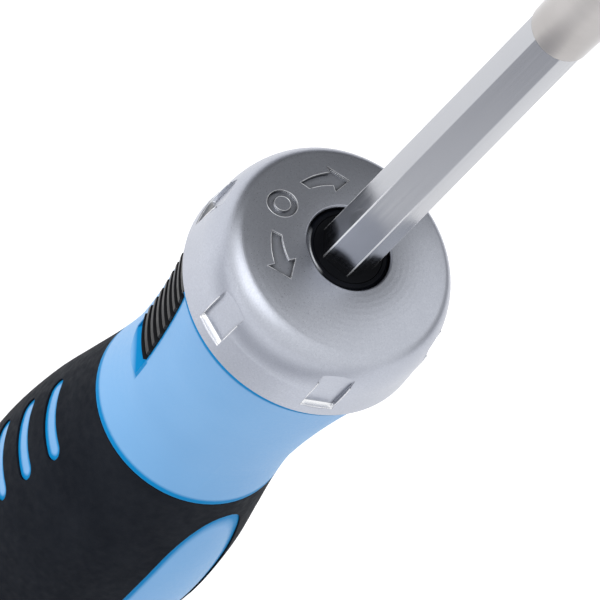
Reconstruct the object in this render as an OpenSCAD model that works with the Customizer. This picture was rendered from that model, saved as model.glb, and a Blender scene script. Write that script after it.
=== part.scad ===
// Ratcheting screwdriver with a three-position selector ring, a quick-release hex shaft
// and a bit cartridge in the handle. The tip points to +Z and the end cap stands on Z = 0.
// The thumb slide faces -Y. Millimetres throughout.

/* [Handle] */
// Height of the selector ring's rear plane above the end cap's flat
handle_l = 118; // [116:1:124]
// Largest radius of the grip
grip_r = 15.75; // [15.5:0.25:16.25]
// Thickness of the soft sleeve over the hard core
grip_skin = 1.5; // [1.3:0.1:1.7]
// Distance from the ring back to the sleeve's front edge
grip_front = 32.8; // [32:0.2:34]
// Gap between the ring's rear plane and the handle's front face
face_gap = 0.3; // [0.2:0.05:0.4]
// Width of the lip that shows under the ring's rim
lip_h = 0.5; // [0.3:0.1:0.8]
// How far the lip's radius stays inside the ring's
lip_inset = 0.4; // [0.3:0.1:0.8]
// Length of the long side panels
panel_l = 61; // [54:1:62]
// Width of the long side panels
panel_w = 13.8; // [11:0.2:14]
// Distance from the ring back to the panels' front ends
panel_start = 36.4; // [35.6:0.2:38]
// Depth of the panels below the sleeve's surface
panel_sink = 0.25; // [0.15:0.05:0.4]
// Number of slots in the row behind the thumb slide
slot_rows = 7; // [3:1:8]
// Width of a slot round the grip
slot_w = 11; // [8:0.5:12]
// Height of a slot along the grip
slot_h = 2.8; // [2:0.2:3.2]
// Distance from slot to slot
slot_pitch = 6.4; // [5.6:0.2:6.6]
// Distance from the ring back to the first slot's middle
slot_start = 43.4; // [42:0.2:45]
// Clearance between the sleeve and the core
seam = 0.05; // [0.03:0.01:0.08]

/* [Selector ring] */
// Radius of the ring's rear rim
ring_r = 15.85; // [15.7:0.05:16.2]
// Radius where the skirt ends and the shoulder begins
skirt_r = 15.63; // [15.5:0.01:15.68]
// Height where the shoulder begins
skirt_h = 4.8; // [4:0.1:6]
// Radius of the front face's outer edge
face_r = 13.05; // [12.9:0.05:13.3]
// Height of the front face's outer edge
face_z = 11.75; // [11.6:0.05:11.9]
// Height of the ring at its hole
ring_h = 13.1; // [13:0.05:13.3]
// Radius of the ring's hole
ring_hole_r = 5.43; // [5.4:0.01:5.5]
// Radius of the bore that turns on the housing
ring_bore_r = 13; // [12.95:0.05:13.1]
// Thickness of the front wall
ring_wall = 1.6; // [1.3:0.1:1.7]
// Chamfer on the ring's edges
ring_edge = 0.2; // [0.1:0.05:0.3]
// Number of grip scoops
scoop_count = 6; // [3:1:8]
// Width of a scoop
scoop_w = 4.15; // [3:0.05:5]
// Depth of a scoop below the skirt
scoop_depth = 0.6; // [0.4:0.05:0.8]
// Distance of a scoop's rear end from the rim
scoop_start = 1.8; // [1.5:0.1:2.4]
// Length of the slope at a scoop's rear end
scoop_slope = 0.35; // [0.2:0.05:0.6]
// Angle of the O mark and one scoop round the axis, from +X
mark_turn = -114.8; // [-116:0.2:-113]
// Depth of the marks
mark_depth = 0.35; // [0.2:0.05:0.5]
// Radius where the O mark lies
o_place_r = 9.5; // [9.2:0.1:9.8]
// Outer radius of the O mark
o_outer_r = 1.88; // [1.6:0.02:2]
// Inner radius of the O mark
o_inner_r = 0.98; // [0.8:0.02:1.2]
// Radius of the middle of the arrows' bodies
arrow_r = 9.2; // [9:0.1:9.4]
// Width of the arrows' bodies where the heads begin
arrow_w = 1.9; // [1.6:0.1:2.2]
// Width of the arrows' bodies at their tails
tail_w = 1.25; // [1:0.05:1.5]
// Width of the arrows' heads
head_w = 3.65; // [3:0.05:4]
// Angle from the O mark to an arrow's tail
arrow_tail = 25.5; // [24:0.5:28]
// Angle from the O mark to the base of an arrow's head
arrow_base = 49.3; // [46:0.1:52]
// Angle from the O mark to an arrow's tip
arrow_tip = 64; // [60:1:68]
// Turn of the ring from the middle to either side
selector_turn = 24; // [20:1:24]

/* [Ratchet] */
// Number of ratchet teeth
teeth = 24; // [24:12:24]
// Outer radius of the ratchet gear
gear_r = 6.9; // [6.8:0.05:6.95]
// Depth of a ratchet tooth
tooth_h = 1.2; // [1.1:0.05:1.3]
// Distance of a pawl's pin from the axis
pawl_pin_place = 9.1; // [9.1:0.05:9.3]
// Radius of a pawl's hub
pawl_hub_r = 1.9; // [1.7:0.05:1.95]
// Radius of a pawl's pin
pawl_pin_r = 0.98; // [0.8:0.02:1]
// Radius of a pawl's back, round the tool's axis
pawl_back_r = 11.5; // [11.3:0.05:11.6]
// Height of a pawl
pawl_h = 5.1; // [4.6:0.1:5.2]
// Depth of a pawl's teeth in the gear at rest
pawl_bite = 0.48; // [0.45:0.01:0.5]
// Height of the housing's base above the ring's rear plane
base_z = 2.5; // [2.4:0.1:2.8]
// Height of the gear chamber's floor
chamber_z = 1.5; // [1.4:0.1:1.6]
// Height where the housing's posts end
post_z = 8.7; // [8.7:0.1:8.8]
// Thickness of the cover plate
cover_t = 0.8; // [0.6:0.1:0.8]
// Radius of the housing's spigot in the handle
spigot_r = 8.4; // [8.2:0.1:8.6]
// Length of the spigot behind the ring's rear plane
spigot_l = 9; // [7.5:0.1:9]
// Radius of the detent ball
detent_r = 1; // [0.8:0.05:1]

/* [Spindle and shaft] */
// Width across flats of the hex drive
hex_af = 6.35; // [6.25:0.05:6.35]
// Radius of the spindle in its bearings
spindle_r = 4.95; // [4.9:0.01:4.98]
// Radius of the spindle's nose
nose_r = 4.45; // [4.4:0.01:4.48]
// Height of the nose above the ring's rear plane
nose_z = 12.8; // [12.6:0.05:12.9]
// Chamfer on the front edge of the nose bushing
nose_edge = 0.4; // [0.2:0.05:0.45]
// Length of the spindle behind the ring's rear plane
spindle_tail = 35; // [34.5:0.1:36]
// Length of the hex shaft behind the ring's rear plane
shaft_tail = 31; // [28:0.5:33]
// Height where the bit holder begins
holder_z = 72; // [66:1:80]
// Length of the bit holder's cone
holder_cone_l = 12; // [8:0.5:14]
// Radius of the bit holder
holder_r = 5.9; // [5.6:0.1:6.4]
// Radius of the bit holder's rear end
holder_rear_r = 4; // [3.95:0.05:4.4]
// Length of the bit holder
holder_l = 30; // [28:0.5:34]
// Length of a bit
bit_l = 25; // [25:1:27]
// Depth of a bit in the holder
bit_seat = 12.6; // [11:0.1:13]
// Thickness of the holder's magnet
magnet_t = 3; // [2:0.1:3.2]
// Radius of the holder's magnet
magnet_r = 2.95; // [2.6:0.05:3]

/* [Thumb slide and lock] */
// Width of the thumb slide
slide_w = 6.2; // [5.6:0.1:6.4]
// Length of the thumb slide
slide_l = 18.3; // [18:0.1:18.6]
// Travel of the thumb slide
slide_travel = 3; // [2.6:0.1:3]
// Distance of the slide's underside from the tool's axis
slide_floor = 10.5; // [10.4:0.05:10.6]
// Height of the slide's ridges above the handle
ridge_rise = 0.35; // [0.2:0.05:0.5]
// Depth of the grooves between the ridges
ridge_depth = 0.6; // [0.4:0.05:0.7]
// Number of ridges
ridge_count = 8; // [6:1:9]
// Length of the scooped ramp behind the slide
ramp_l = 4.1; // [3.8:0.1:4.4]
// Radius of a lock ball
ball_r = 1.15; // [1.1:0.01:1.18]
// Distance of the lock balls behind the ring's rear plane
ball_place = 14.6; // [14.5:0.05:14.7]
// Radius of the groove in the hex shaft
lock_groove_r = 3; // [2.95:0.01:3.05]
// Outward travel of a lock ball when the slide is drawn right back
ball_travel = 0.7; // [0.7:0.01:0.72]
// Outer radius of the release collar
collar_r = 7.7; // [7.6:0.05:7.8]
// Wire thickness of the return spring
spring_wire = 0.8; // [0.6:0.05:0.8]
// Number of turns of the return spring
spring_turns = 4; // [3:1:4]

/* [Cap and cartridge] */
// Height of the end cap
cap_h = 12.3; // [11.8:0.1:12.3]
// Radius of the end cap's flat
cap_flat_r = 9.5; // [8.5:0.25:10.5]
// Radius of the end cap at its top
cap_r = 15.1; // [14.9:0.1:15.3]
// Thickness of the cartridge's flange
flange_t = 1.4; // [1.2:0.1:1.6]
// Radius of the cartridge's flange
flange_r = 14.9; // [14.5:0.1:15]
// Radius of the cartridge
cartridge_r = 10.1; // [10.05:0.05:10.15]
// Length of the cartridge behind its flange
cartridge_l = 36.6; // [36:0.2:38]
// Number of bits in the cartridge
bit_count = 5; // [5:1:5]
// Distance of a stored bit's axis from the cartridge's
bit_place = 6.6; // [6.5:0.05:6.65]
// Radius of the cap screw's shoulder
screw_r = 2; // [1.8:0.05:2.1]

/* [Hidden] */
$fn = 96;

// Colours of the materials
blue = [0.44, 0.66, 0.88];
black = [0.13, 0.14, 0.17];
silver = [0.74, 0.75, 0.79];
steel = [0.62, 0.63, 0.66];
dark_steel = [0.08, 0.08, 0.1];
bronze = [0.7, 0.52, 0.28];

// One overrun for all cuts, and the clearances of the fits
cut = 0.5;
run_gap = 0.08;
press_gap = 0.03;
loose_gap = 0.12;
part_gap = 0.3;

// The handle's outline: shares of the handle's length behind the ring, and of the grip's radius
outline_shares = [
    [0, 0.971], [0.034, 0.92], [0.085, 0.861], [0.136, 0.815], [0.186, 0.786], [0.229, 0.78],
    [0.288, 0.82], [0.356, 0.895], [0.424, 0.968], [0.508, 1], [0.593, 0.965], [0.678, 0.921],
    [0.763, 0.914], [0.83, 0.946], [0.9, 0.965]
];
last_share = len(outline_shares) - 1;
outline_steps = 44;

// Directions of the panels and the slots round the handle
slide_dir = -90;
panel_dirs = [slide_dir + 120, slide_dir + 240];
panel_power = 2.3;
panel_steps = 60;
panel_rim = 2 * grip_skin;

// Places along the handle, measured back from the ring's rear plane
rear_z = cap_h + flange_t + 2 * part_gap - seam;
rear_d = handle_l - rear_z;
cartridge_bore_r = cartridge_r + part_gap;
cartridge_bore_top = rear_z + cartridge_l + part_gap;
panel_reach = min(panel_l, rear_d - panel_start - panel_rim);

// The ring's face is gently domed; the shoulder is part of an ellipse that runs into it
face_steps = 10;
face_rim_share = 0.92;
face_rim_slope = 2 * (ring_h - face_z) / (face_r - ring_hole_r);
shoulder_turn = 2 * atan(sqrt(1 - 2 * face_rim_slope * (skirt_r - face_r) / (face_z - skirt_h)));
shoulder_w = (skirt_r - face_r) / (1 - cos(shoulder_turn));
shoulder_h = (face_z - skirt_h) / sin(shoulder_turn);
shoulder_steps = 20;
mark_reach_r = face_rim_share * face_r;
scoop_floor = skirt_r - scoop_depth;
arrow_steps = 8;
tail_slant = 3;
wire_r = 0.45 * ring_bore_r / 13;
wire_z = 1.5 * base_z / 2.5;
wire_groove_r = ring_bore_r + wire_r + loose_gap / 2;
housing_r = ring_bore_r - run_gap;

// The ratchet: levels of its parts above the ring's rear plane
washer_t = 0.5 * chamber_z / 1.5;
shoulder_t = 0.5 * base_z / 2.5;
seat_gap = 0.05 * base_z / 2.5;
shoulder_z = chamber_z + washer_t + 2 * seat_gap;
gear_z = shoulder_z + shoulder_t + seat_gap;
gear_chamber_r = gear_r + part_gap;
bush_flange_t = 0.55 * cover_t / 0.8;
bush_flange_z = post_z - bush_flange_t - press_gap;
bush_r = ring_hole_r - run_gap;
gear_h = bush_flange_z - gear_z - loose_gap;
pawl_z = base_z + part_gap - seam;
cover_top = post_z + cover_t;
cover_r = ring_bore_r - 1.1 * cover_t / 0.8;
mid_z = pawl_z + pawl_h / 2;

// The pawls: their tips lie in gaps of the gear either side of each pin
pawl_dirs = [90, 270];
tip_angle = 2.5 * 360 / 24;
tip_half = 0.08 * tooth_h / 1.2;
tip_flank = 15;
pawl_inner_r = gear_r + 0.85 * tooth_h / 1.2;
pawl_half_angle = 41;
pocket_half_angle = 47;
plunger_r = pawl_h / 5.1;
plunger_l = 2.5 * plunger_r;
plunger_wall = 0.28 * plunger_r;
plunger_seat_r = skirt_r - 0.75 * plunger_r;

// The cover's screws stand in the posts, and reach into the handle's core
screw_dirs = [-25, 25, 155, 205];
cover_screw_place = 10.2 * housing_r / 12.92;
cover_screw_r = 0.8 * cover_t / 0.8;
cover_screw_head_r = 1.5 * cover_screw_r / 0.8;
cover_screw_l = 16.3 * spigot_l / 9;
driver_slot_w = 0.4 * cover_screw_r / 0.8;

// The detent: a ball on a spring in a post, three dimples in the ring
detent_out = 0.35 * detent_r;
detent_place = ring_bore_r - detent_r + detent_out;
detent_bottom = gear_chamber_r + 0.6 * detent_r;
detent_spring_wire = 0.36 * detent_r;
dimple_extra = 0.33 * detent_r;

// The spindle, its clip and bushings
hex_gap = 0.05;
hex_r = hex_af / 2 / cos(30);
socket_r = hex_r + hex_gap / cos(30);
rear_bush_l = 6.2 * spindle_r / 4.95;
rear_bush_z = -33 * spindle_tail / 35;
rear_bush_r = 6.5 * spindle_r / 4.95;
rear_bush_flange_r = 7.8 * spindle_r / 4.95;
rear_bush_flange_t = 0.8 * spindle_r / 4.95;
clip_t = 0.5 * spindle_r / 4.95;
clip_groove_r = 4.3 * spindle_r / 4.95;
clip_r = 6.2 * spindle_r / 4.95;
clip_z = rear_bush_z - clip_t - loose_gap;
clip_gap_w = 4 * clip_t;
tail_pocket_r = rear_bush_r + seam;
tail_pocket_l = 5 * spindle_r / 4.95;

// The lock: the collar's cone lets the balls out as the slide is drawn back
ball_gap = 0.03;
ball_centre = lock_groove_r + ball_r + ball_gap;
cone_ratio = ball_travel / slide_travel;
cone_angle = atan(cone_ratio);
cone_r = ball_centre + (ball_r + ball_gap) / cos(cone_angle);
collar_bore_r = spindle_r + 0.1 * spindle_r / 4.95;
collar_front = -ball_place + slide_travel + 1.2 * ball_r;
collar_l = 8.3 * slide_travel / 3;
collar_rear = collar_front - collar_l;
fork_l = 2.6 * slide_travel / 3;
fork_front = collar_front - fork_l / 2.6;
fork_w = 0.62 * slide_w;
fork_r = collar_r - 0.65 * collar_r / 7.7;
lock_chamber_r = collar_r + 0.4 * collar_r / 7.7;
lock_chamber_front = -spigot_l - seam;
lock_chamber_rear = rear_bush_z + rear_bush_l;
lock_groove_half = 0.9 * ball_r / 1.15;
lock_groove_open = hex_r - lock_groove_r + lock_groove_half;

// The thumb slide and the window that it runs in
window_gap = 0.1;
slide_front = -face_gap - window_gap;
slide_rear = slide_front - slide_l;
window_floor = slide_floor - window_gap;
ramp_front = slide_rear - 0.5 * slide_travel / 3;
ramp_rise = handle_radius(ramp_l - ramp_front) - window_floor;
ramp_slope = ramp_rise / ramp_l;
far_out = 2 * grip_r;
under_front = ramp_front + slide_travel;
under_rise = (under_front - slide_rear) * ramp_slope;
ridge_pitch = slide_l / ridge_count;
ridge_land_share = 0.42;
ridge_flank_share = 0.14;

// The cap and the cartridge
cap_turn_gap = 0.06;
cap_corner = 1.2 * cap_h / 12.3;
cap_wall = 2.6 * cap_h / 12.3;
cap_hub_r = 5.2 * screw_r / 2;
cap_steps = 14;
cap_power = 2.4;
screw_head_r = 3.6 * screw_r / 2;
screw_head_t = 1.8 * screw_r / 2;
screw_thread_r = 0.75 * screw_r;
screw_thread_l = 8 * screw_r / 2;
plug_t = 1.2 * cap_h / 12.3;
cap_inside_r = cap_r - cap_wall;
flange_z = cap_h + part_gap;
cartridge_z = flange_z + flange_t;
ring_groove_z = cartridge_z + 3 * cartridge_r / 10.1;
o_ring_r = 0.9 * cartridge_r / 10.1;
o_ring_place = cartridge_bore_r - o_ring_r - loose_gap;
bit_z = cartridge_z + 8 * cartridge_l / 36.6;
pocket_w = 2 * hex_r + 2 * loose_gap;
pocket_end_gap = 0.3;

// The bits: lengths of their hex bodies and necks, and the sizes of their tips
bit_edge = 0.4;
bit_hex_share = 0.42;
bit_neck_share = 0.3;
neck_r = 2.45 * hex_af / 6.35;
tip_r = 2.95 * hex_af / 6.35;
magnet_gap = 0.2;
magnet_z = holder_z + holder_l - bit_seat - magnet_gap - magnet_t;
shaft_end = magnet_z - magnet_gap;
bit_rest = holder_z + holder_l - bit_seat;
mouth_chamfer = 0.5 * holder_r / 5.9;
holder_edge = 0.4 * holder_r / 5.9;
holder_rear_edge = 0.15 * holder_rear_r / 4;
holder_clip_wire = 0.28 * holder_r / 5.9;
holder_clip_place = hex_r + holder_clip_wire + hex_gap;
holder_clip_z = holder_z + holder_l - 3 * holder_r / 5.9;

// Radius of the handle's outline at a distance behind the ring's rear plane
function station(share, i = 0) =
    i >= last_share - 1 || share < outline_shares[i + 1][0] ? i : station(share, i + 1);
function tangent(i) = let (a = max(i - 1, 0), b = min(i + 1, last_share))
    (outline_shares[b][1] - outline_shares[a][1]) / (outline_shares[b][0] - outline_shares[a][0]);
function blend(i, w, u) =
    (2 * u ^ 3 - 3 * u ^ 2 + 1) * outline_shares[i][1] + (u ^ 3 - 2 * u ^ 2 + u) * w * tangent(i)
    + (3 * u ^ 2 - 2 * u ^ 3) * outline_shares[i + 1][1] + (u ^ 3 - u ^ 2) * w * tangent(i + 1);
function handle_radius(d) = let (
        share = d / handle_l,
        i = station(share),
        w = outline_shares[i + 1][0] - outline_shares[i][0])
    grip_r * blend(i, w, (share - outline_shares[i][0]) / w);
function outline(d0, d1, inset, steps) =
    [for (i = [0:steps]) let (d = d0 + (d1 - d0) * i / steps) [handle_radius(d) - inset, -d]];

// A point at a radius and an angle, and points on an arc from one angle to another
function at_angle(r, a) = [r * cos(a), r * sin(a)];
function arc(r, a0, a1, steps) = [for (i = [0:steps]) at_angle(r, a0 + (a1 - a0) * i / steps)];

function power_of(value, power) = sign(value) * abs(value) ^ (2 / power);

// Height of the ring's face at a radius
function face_height(r) = ring_h - (ring_h - face_z) * ((r - ring_hole_r) / (face_r - ring_hole_r)) ^ 2;
function face_line(r0, r1, sink) = [for (i = [0:face_steps])
    let (r = r0 + (r1 - r0) * i / face_steps) [r, face_height(r) - sink]];

// Radius of the collar's cone at a height
function cone_radius(z) = cone_r + (z + ball_place) * cone_ratio;

module at_ring() {
    translate([0, 0, handle_l]) children();
}

module at_screws() {
    for (a = screw_dirs) rotate([0, 0, a]) translate([cover_screw_place, 0, 0]) children();
}

// Extrudes an outline drawn across (x) and along (y) the tool outwards in the +X direction
module outwards(from, to) {
    translate([from, 0, 0]) rotate([90, 0, 90]) linear_extrude(to - from) children();
}

// Extrudes an outline drawn outwards (x) and along (y) the tool to both sides of the +X plane
module sideways(width) {
    rotate([90, 0, 0]) linear_extrude(width, center = true) children();
}

module wedge(half_angle, r) {
    polygon(concat([[0, 0]], arc(r / cos(half_angle / 2), -half_angle, half_angle, 4)));
}

module tube(outer_r, inner_r, z, h) {
    translate([0, 0, z]) difference() {
        cylinder(r = outer_r, h = h);
        translate([0, 0, -cut]) cylinder(r = inner_r, h = h + 2 * cut);
    }
}

module hex_bar(r, z, h) {
    translate([0, 0, z]) cylinder(r = r, h = h, $fn = 6);
}

// A round wire bent into an open ring
module open_ring(r, wire, z, gap_angle) {
    translate([0, 0, z]) rotate([0, 0, gap_angle / 2])
        rotate_extrude(angle = 360 - gap_angle) translate([r, 0]) circle(r = wire, $fn = 24);
}

// A coil spring along +Z: one tube swept along a helix, with closed ends
module coil(r, wire, h, turns, sides = 6, rings = 12) {
    count = turns * rings;
    climb = (h - 2 * wire) / count;
    points = [for (i = [0:count]) let (a = 360 * i / rings) for (j = [0:sides - 1])
        let (b = 360 * j / sides, out = r + wire * cos(b))
        [out * cos(a), out * sin(a), wire + climb * i + wire * sin(b)]];
    walls = [for (i = [0:count - 1]) for (j = [0:sides - 1])
        let (p = i * sides + j, q = i * sides + (j + 1) % sides)
        each [[p, q, q + sides], [p, q + sides, p + sides]]];
    first = [for (j = [1:sides - 2]) [0, j + 1, j]];
    end = count * sides;
    last = [for (j = [1:sides - 2]) [end, end + j, end + j + 1]];
    polyhedron(concat(points), concat(walls, first, last));
}

module panel_outline(grow) {
    polygon([for (i = [0:panel_steps - 1]) let (a = 360 * i / panel_steps)
        [(panel_w / 2 + grow) * power_of(cos(a), panel_power),
         (panel_reach / 2 + grow) * power_of(sin(a), panel_power)]]);
}

module slot_outline(grow) {
    h = slot_h + 2 * grow;
    straight = slot_w - slot_h;
    square([straight, h], center = true);
    for (side = [-1, 1]) translate([side * straight / 2, 0]) circle(d = h, $fn = 32);
}

// The windows of the sleeve as prisms, made larger or smaller by grow
module windows(grow) {
    for (dir = panel_dirs) rotate([0, 0, dir])
        outwards(spigot_r, far_out) translate([0, -panel_start - panel_reach / 2]) panel_outline(grow);
    for (row = [0:slot_rows - 1]) rotate([0, 0, slide_dir])
        outwards(spigot_r, far_out) translate([0, -slot_start - row * slot_pitch]) slot_outline(grow);
}

module slide_window() {
    rotate([0, 0, slide_dir]) {
        sideways(slide_w + 2 * window_gap) polygon([
            [window_floor, cut], [far_out, cut],
            [far_out, ramp_front - (far_out - window_floor) / ramp_slope], [window_floor, ramp_front]]);
        sideways(fork_w + 2 * window_gap) polygon([
            [spindle_r, fork_front + window_gap], [slide_floor, fork_front + window_gap],
            [slide_floor, fork_front - fork_l - slide_travel - window_gap],
            [spindle_r, fork_front - fork_l - slide_travel - window_gap]]);
    }
}

// Blue hard core: collar, window of the slide, raised panels and all the inner bores
module handle_core() {
    color(blue) at_ring() difference() {
        union() {
            rotate_extrude() polygon(concat(
                [[0, -face_gap], [ring_r - lip_inset, -face_gap], [ring_r - lip_inset, -face_gap - lip_h]],
                outline(face_gap + lip_h, grip_front, 0, outline_steps / 2), [[0, -grip_front]]));
            rotate_extrude() polygon(concat([[0, -grip_front]],
                outline(grip_front, rear_d, grip_skin + seam, outline_steps), [[0, -rear_d]]));
            intersection() {
                rotate_extrude() polygon(concat([[0, -grip_front]],
                    outline(grip_front, rear_d, panel_sink, outline_steps), [[0, -rear_d]]));
                windows(-seam);
            }
        }
        slide_window();
        translate([0, 0, -spigot_l - seam]) cylinder(r = spigot_r + seam, h = spigot_l + cut);
        translate([0, 0, lock_chamber_rear])
            cylinder(r = lock_chamber_r, h = lock_chamber_front - lock_chamber_rear);
        translate([0, 0, rear_bush_z - cut])
            cylinder(r = rear_bush_r + press_gap, h = rear_bush_l + 2 * cut);
        translate([0, 0, rear_bush_z - tail_pocket_l]) cylinder(r = tail_pocket_r, h = tail_pocket_l);
        translate([0, 0, -rear_d - cut])
            cylinder(r = cartridge_bore_r, h = cartridge_bore_top - rear_z + cut);
        at_screws() translate([0, 0, cover_top - cover_screw_l - seam])
            cylinder(r = cover_screw_r + press_gap, h = cover_screw_l, $fn = 32);
    }
}

// Black soft sleeve over the core, with the panels' windows and the row of slots
module grip_sleeve() {
    color(black) at_ring() difference() {
        rotate_extrude() polygon(concat(
            outline(grip_front + seam, rear_d, 0, outline_steps),
            outline(rear_d, grip_front + seam, grip_skin, outline_steps)));
        windows(0);
    }
}

// Outline of the ring from its rear rim over the shoulder and the face, then back inside
function ring_points() = concat(
    [[ring_bore_r, 0], [ring_r - ring_edge, 0], [ring_r, ring_edge]],
    [for (i = [0:shoulder_steps]) let (a = shoulder_turn * i / shoulder_steps)
        [skirt_r - shoulder_w * (1 - cos(a)), skirt_h + shoulder_h * sin(a)]],
    [for (i = [1:face_steps]) face_line(face_r, ring_hole_r + ring_edge, 0)[i]],
    [[ring_hole_r, face_height(ring_hole_r) - ring_edge]],
    face_line(ring_hole_r, ring_bore_r, ring_wall),
    [[ring_bore_r, wire_z + wire_r + loose_gap], [wire_groove_r, wire_z + wire_r + loose_gap],
     [wire_groove_r, wire_z - wire_r - loose_gap], [ring_bore_r, wire_z - wire_r - loose_gap]]);

// One side of an arrow's body, which widens from the tail to the head
function arrow_side(side) = [for (i = [0:arrow_steps]) let (share = i / arrow_steps)
    at_angle(arrow_r + side * (tail_w + (arrow_w - tail_w) * share) / 2,
        arrow_base - (arrow_base - arrow_tail + side * tail_slant / 2) * (1 - share))];

module arrow_outline() {
    inner = arrow_side(-1);
    polygon(concat(arrow_side(1), [
        at_angle(arrow_r + head_w / 2, arrow_base), at_angle(arrow_r, arrow_tip),
        at_angle(arrow_r - head_w / 2, arrow_base)], [for (i = [arrow_steps:-1:0]) inner[i]]));
}

// The O and the two arrows, sunk to an even depth below the domed face
module ring_marks() {
    intersection() {
        rotate_extrude() polygon(concat(face_line(ring_hole_r, mark_reach_r, mark_depth),
            [[mark_reach_r, ring_h + cut], [ring_hole_r, ring_h + cut]]));
        rotate([0, 0, mark_turn]) linear_extrude(ring_h + 2 * cut) {
            translate([o_place_r, 0]) difference() {
                circle(r = o_outer_r, $fn = 48);
                circle(r = o_inner_r, $fn = 48);
            }
            arrow_outline();
            mirror([0, 1]) arrow_outline();
        }
    }
}

module detent_track() {
    half = selector_turn + 10;
    rotate([0, 0, -half]) rotate_extrude(angle = 2 * half)
        translate([detent_place, mid_z - detent_r]) square([detent_r + seam, 2 * detent_r]);
    for (a = [-1, 0, 1]) rotate([0, 0, a * selector_turn])
        translate([detent_place + dimple_extra, 0, mid_z]) sphere(r = detent_r + seam, $fn = 48);
}

// Satin cast selector ring with its scoops, marks, detent dimples and plunger bores
module selector_ring() {
    color(silver) at_ring() difference() {
        rotate_extrude($fn = 180) polygon(ring_points());
        for (i = [0:scoop_count - 1]) rotate([0, 0, mark_turn + i * 360 / scoop_count])
            sideways(scoop_w) polygon([
                [scoop_floor, ring_h], [scoop_floor, scoop_start + scoop_slope],
                [scoop_floor + 2 * scoop_depth, scoop_start - scoop_slope],
                [scoop_floor + 2 * scoop_depth, ring_h]]);
        ring_marks();
        detent_track();
        for (dir = pawl_dirs) rotate([0, 0, dir]) translate([ring_bore_r - cut, 0, mid_z]) rotate([0, 90, 0])
            cylinder(r = plunger_r + seam, h = plunger_seat_r - ring_bore_r + cut, $fn = 48);
    }
}

// Cast housing: spigot in the handle, base, posts, pawl pockets and gear chamber
module ratchet_housing() {
    color(steel) at_ring() difference() {
        union() {
            translate([0, 0, -spigot_l]) cylinder(r = spigot_r, h = spigot_l);
            translate([0, 0, -face_gap]) cylinder(r = housing_r, h = post_z + face_gap);
        }
        translate([0, 0, -spigot_l - cut])
            cylinder(r = spindle_r + run_gap, h = spigot_l + chamber_z + 2 * cut);
        translate([0, 0, chamber_z]) cylinder(r = gear_chamber_r, h = post_z);
        for (dir = pawl_dirs) {
            rotate([0, 0, dir]) translate([0, 0, base_z])
                linear_extrude(post_z) wedge(pocket_half_angle, far_out);
            rotate([0, 0, dir]) translate([pawl_pin_place, 0, base_z - 2 * pawl_pin_r])
                cylinder(r = pawl_pin_r + press_gap, h = post_z, $fn = 32);
        }
        tube(far_out, housing_r - wire_r - loose_gap / 2,
            wire_z - wire_r - loose_gap, 2 * (wire_r + loose_gap));
        at_screws() translate([0, 0, -cut - face_gap])
            cylinder(r = cover_screw_r + press_gap, h = post_z + 2 * cut + face_gap, $fn = 32);
        translate([detent_bottom, 0, mid_z]) rotate([0, 90, 0])
            cylinder(r = detent_r + seam, h = housing_r, $fn = 48);
    }
}

// Cover plate over the gear and the pawls
module housing_cover() {
    color(steel) at_ring() difference() {
        tube(cover_r, ring_hole_r, post_z, cover_t);
        for (dir = pawl_dirs) rotate([0, 0, dir]) translate([pawl_pin_place, 0, post_z - cut])
            cylinder(r = pawl_pin_r + press_gap, h = cover_t + 2 * cut, $fn = 32);
        at_screws() translate([0, 0, post_z]) {
            translate([0, 0, -cut])
                cylinder(r = cover_screw_r + press_gap, h = cover_t + 2 * cut, $fn = 32);
            cylinder(r1 = cover_screw_r + press_gap, r2 = cover_screw_head_r + press_gap,
                h = cover_t, $fn = 32);
        }
    }
}

// Four long countersunk screws that hold the cover and the housing to the core
module cover_screws() {
    color(dark_steel) at_ring() at_screws() difference() {
        union() {
            translate([0, 0, cover_top - cover_screw_l])
                cylinder(r = cover_screw_r, h = cover_screw_l - cover_t / 2, $fn = 32);
            translate([0, 0, post_z])
                cylinder(r1 = cover_screw_r, r2 = cover_screw_head_r, h = cover_t, $fn = 32);
        }
        translate([-far_out / 2, -driver_slot_w / 2, cover_top - cover_t / 2])
            cube([far_out, driver_slot_w, cover_t]);
    }
}

// Two pins on which the pawls rock
module pawl_pins() {
    color(steel) at_ring() for (dir = pawl_dirs) rotate([0, 0, dir])
        translate([pawl_pin_place, 0, base_z - 2 * pawl_pin_r + seam])
            cylinder(r = pawl_pin_r, h = cover_top - base_z + 2 * pawl_pin_r - 2 * seam, $fn = 32);
}

// Black flanged bushing round the spindle's nose
module nose_bushing() {
    color(black) at_ring() difference() {
        union() {
            translate([0, 0, bush_flange_z]) cylinder(r = gear_r, h = bush_flange_t);
            translate([0, 0, bush_flange_z]) cylinder(r = bush_r, h = nose_z - nose_edge - bush_flange_z);
            translate([0, 0, nose_z - nose_edge])
                cylinder(r1 = bush_r, r2 = bush_r - nose_edge, h = nose_edge);
        }
        cylinder(r = nose_r + run_gap, h = nose_z + cut);
    }
}

// Bronze flanged bushing at the spindle's rear end
module rear_bushing() {
    color(bronze) at_ring() translate([0, 0, rear_bush_z]) difference() {
        union() {
            cylinder(r = rear_bush_r, h = rear_bush_l);
            translate([0, 0, rear_bush_l]) cylinder(r = rear_bush_flange_r, h = rear_bush_flange_t);
        }
        translate([0, 0, -cut])
            cylinder(r = spindle_r + run_gap, h = rear_bush_l + rear_bush_flange_t + 2 * cut);
    }
}

module thrust_washer() {
    color(bronze) at_ring() tube(gear_r, spindle_r + loose_gap, chamber_z + seat_gap, washer_t);
}

// Wire that snaps into grooves of the ring and the housing
module retaining_wire() {
    color(steel) at_ring() open_ring(housing_r + seam / 2, wire_r, wire_z, 24);
}

module detent_ball() {
    color(steel) at_ring() translate([detent_place, 0, mid_z]) sphere(r = detent_r, $fn = 48);
}

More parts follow.
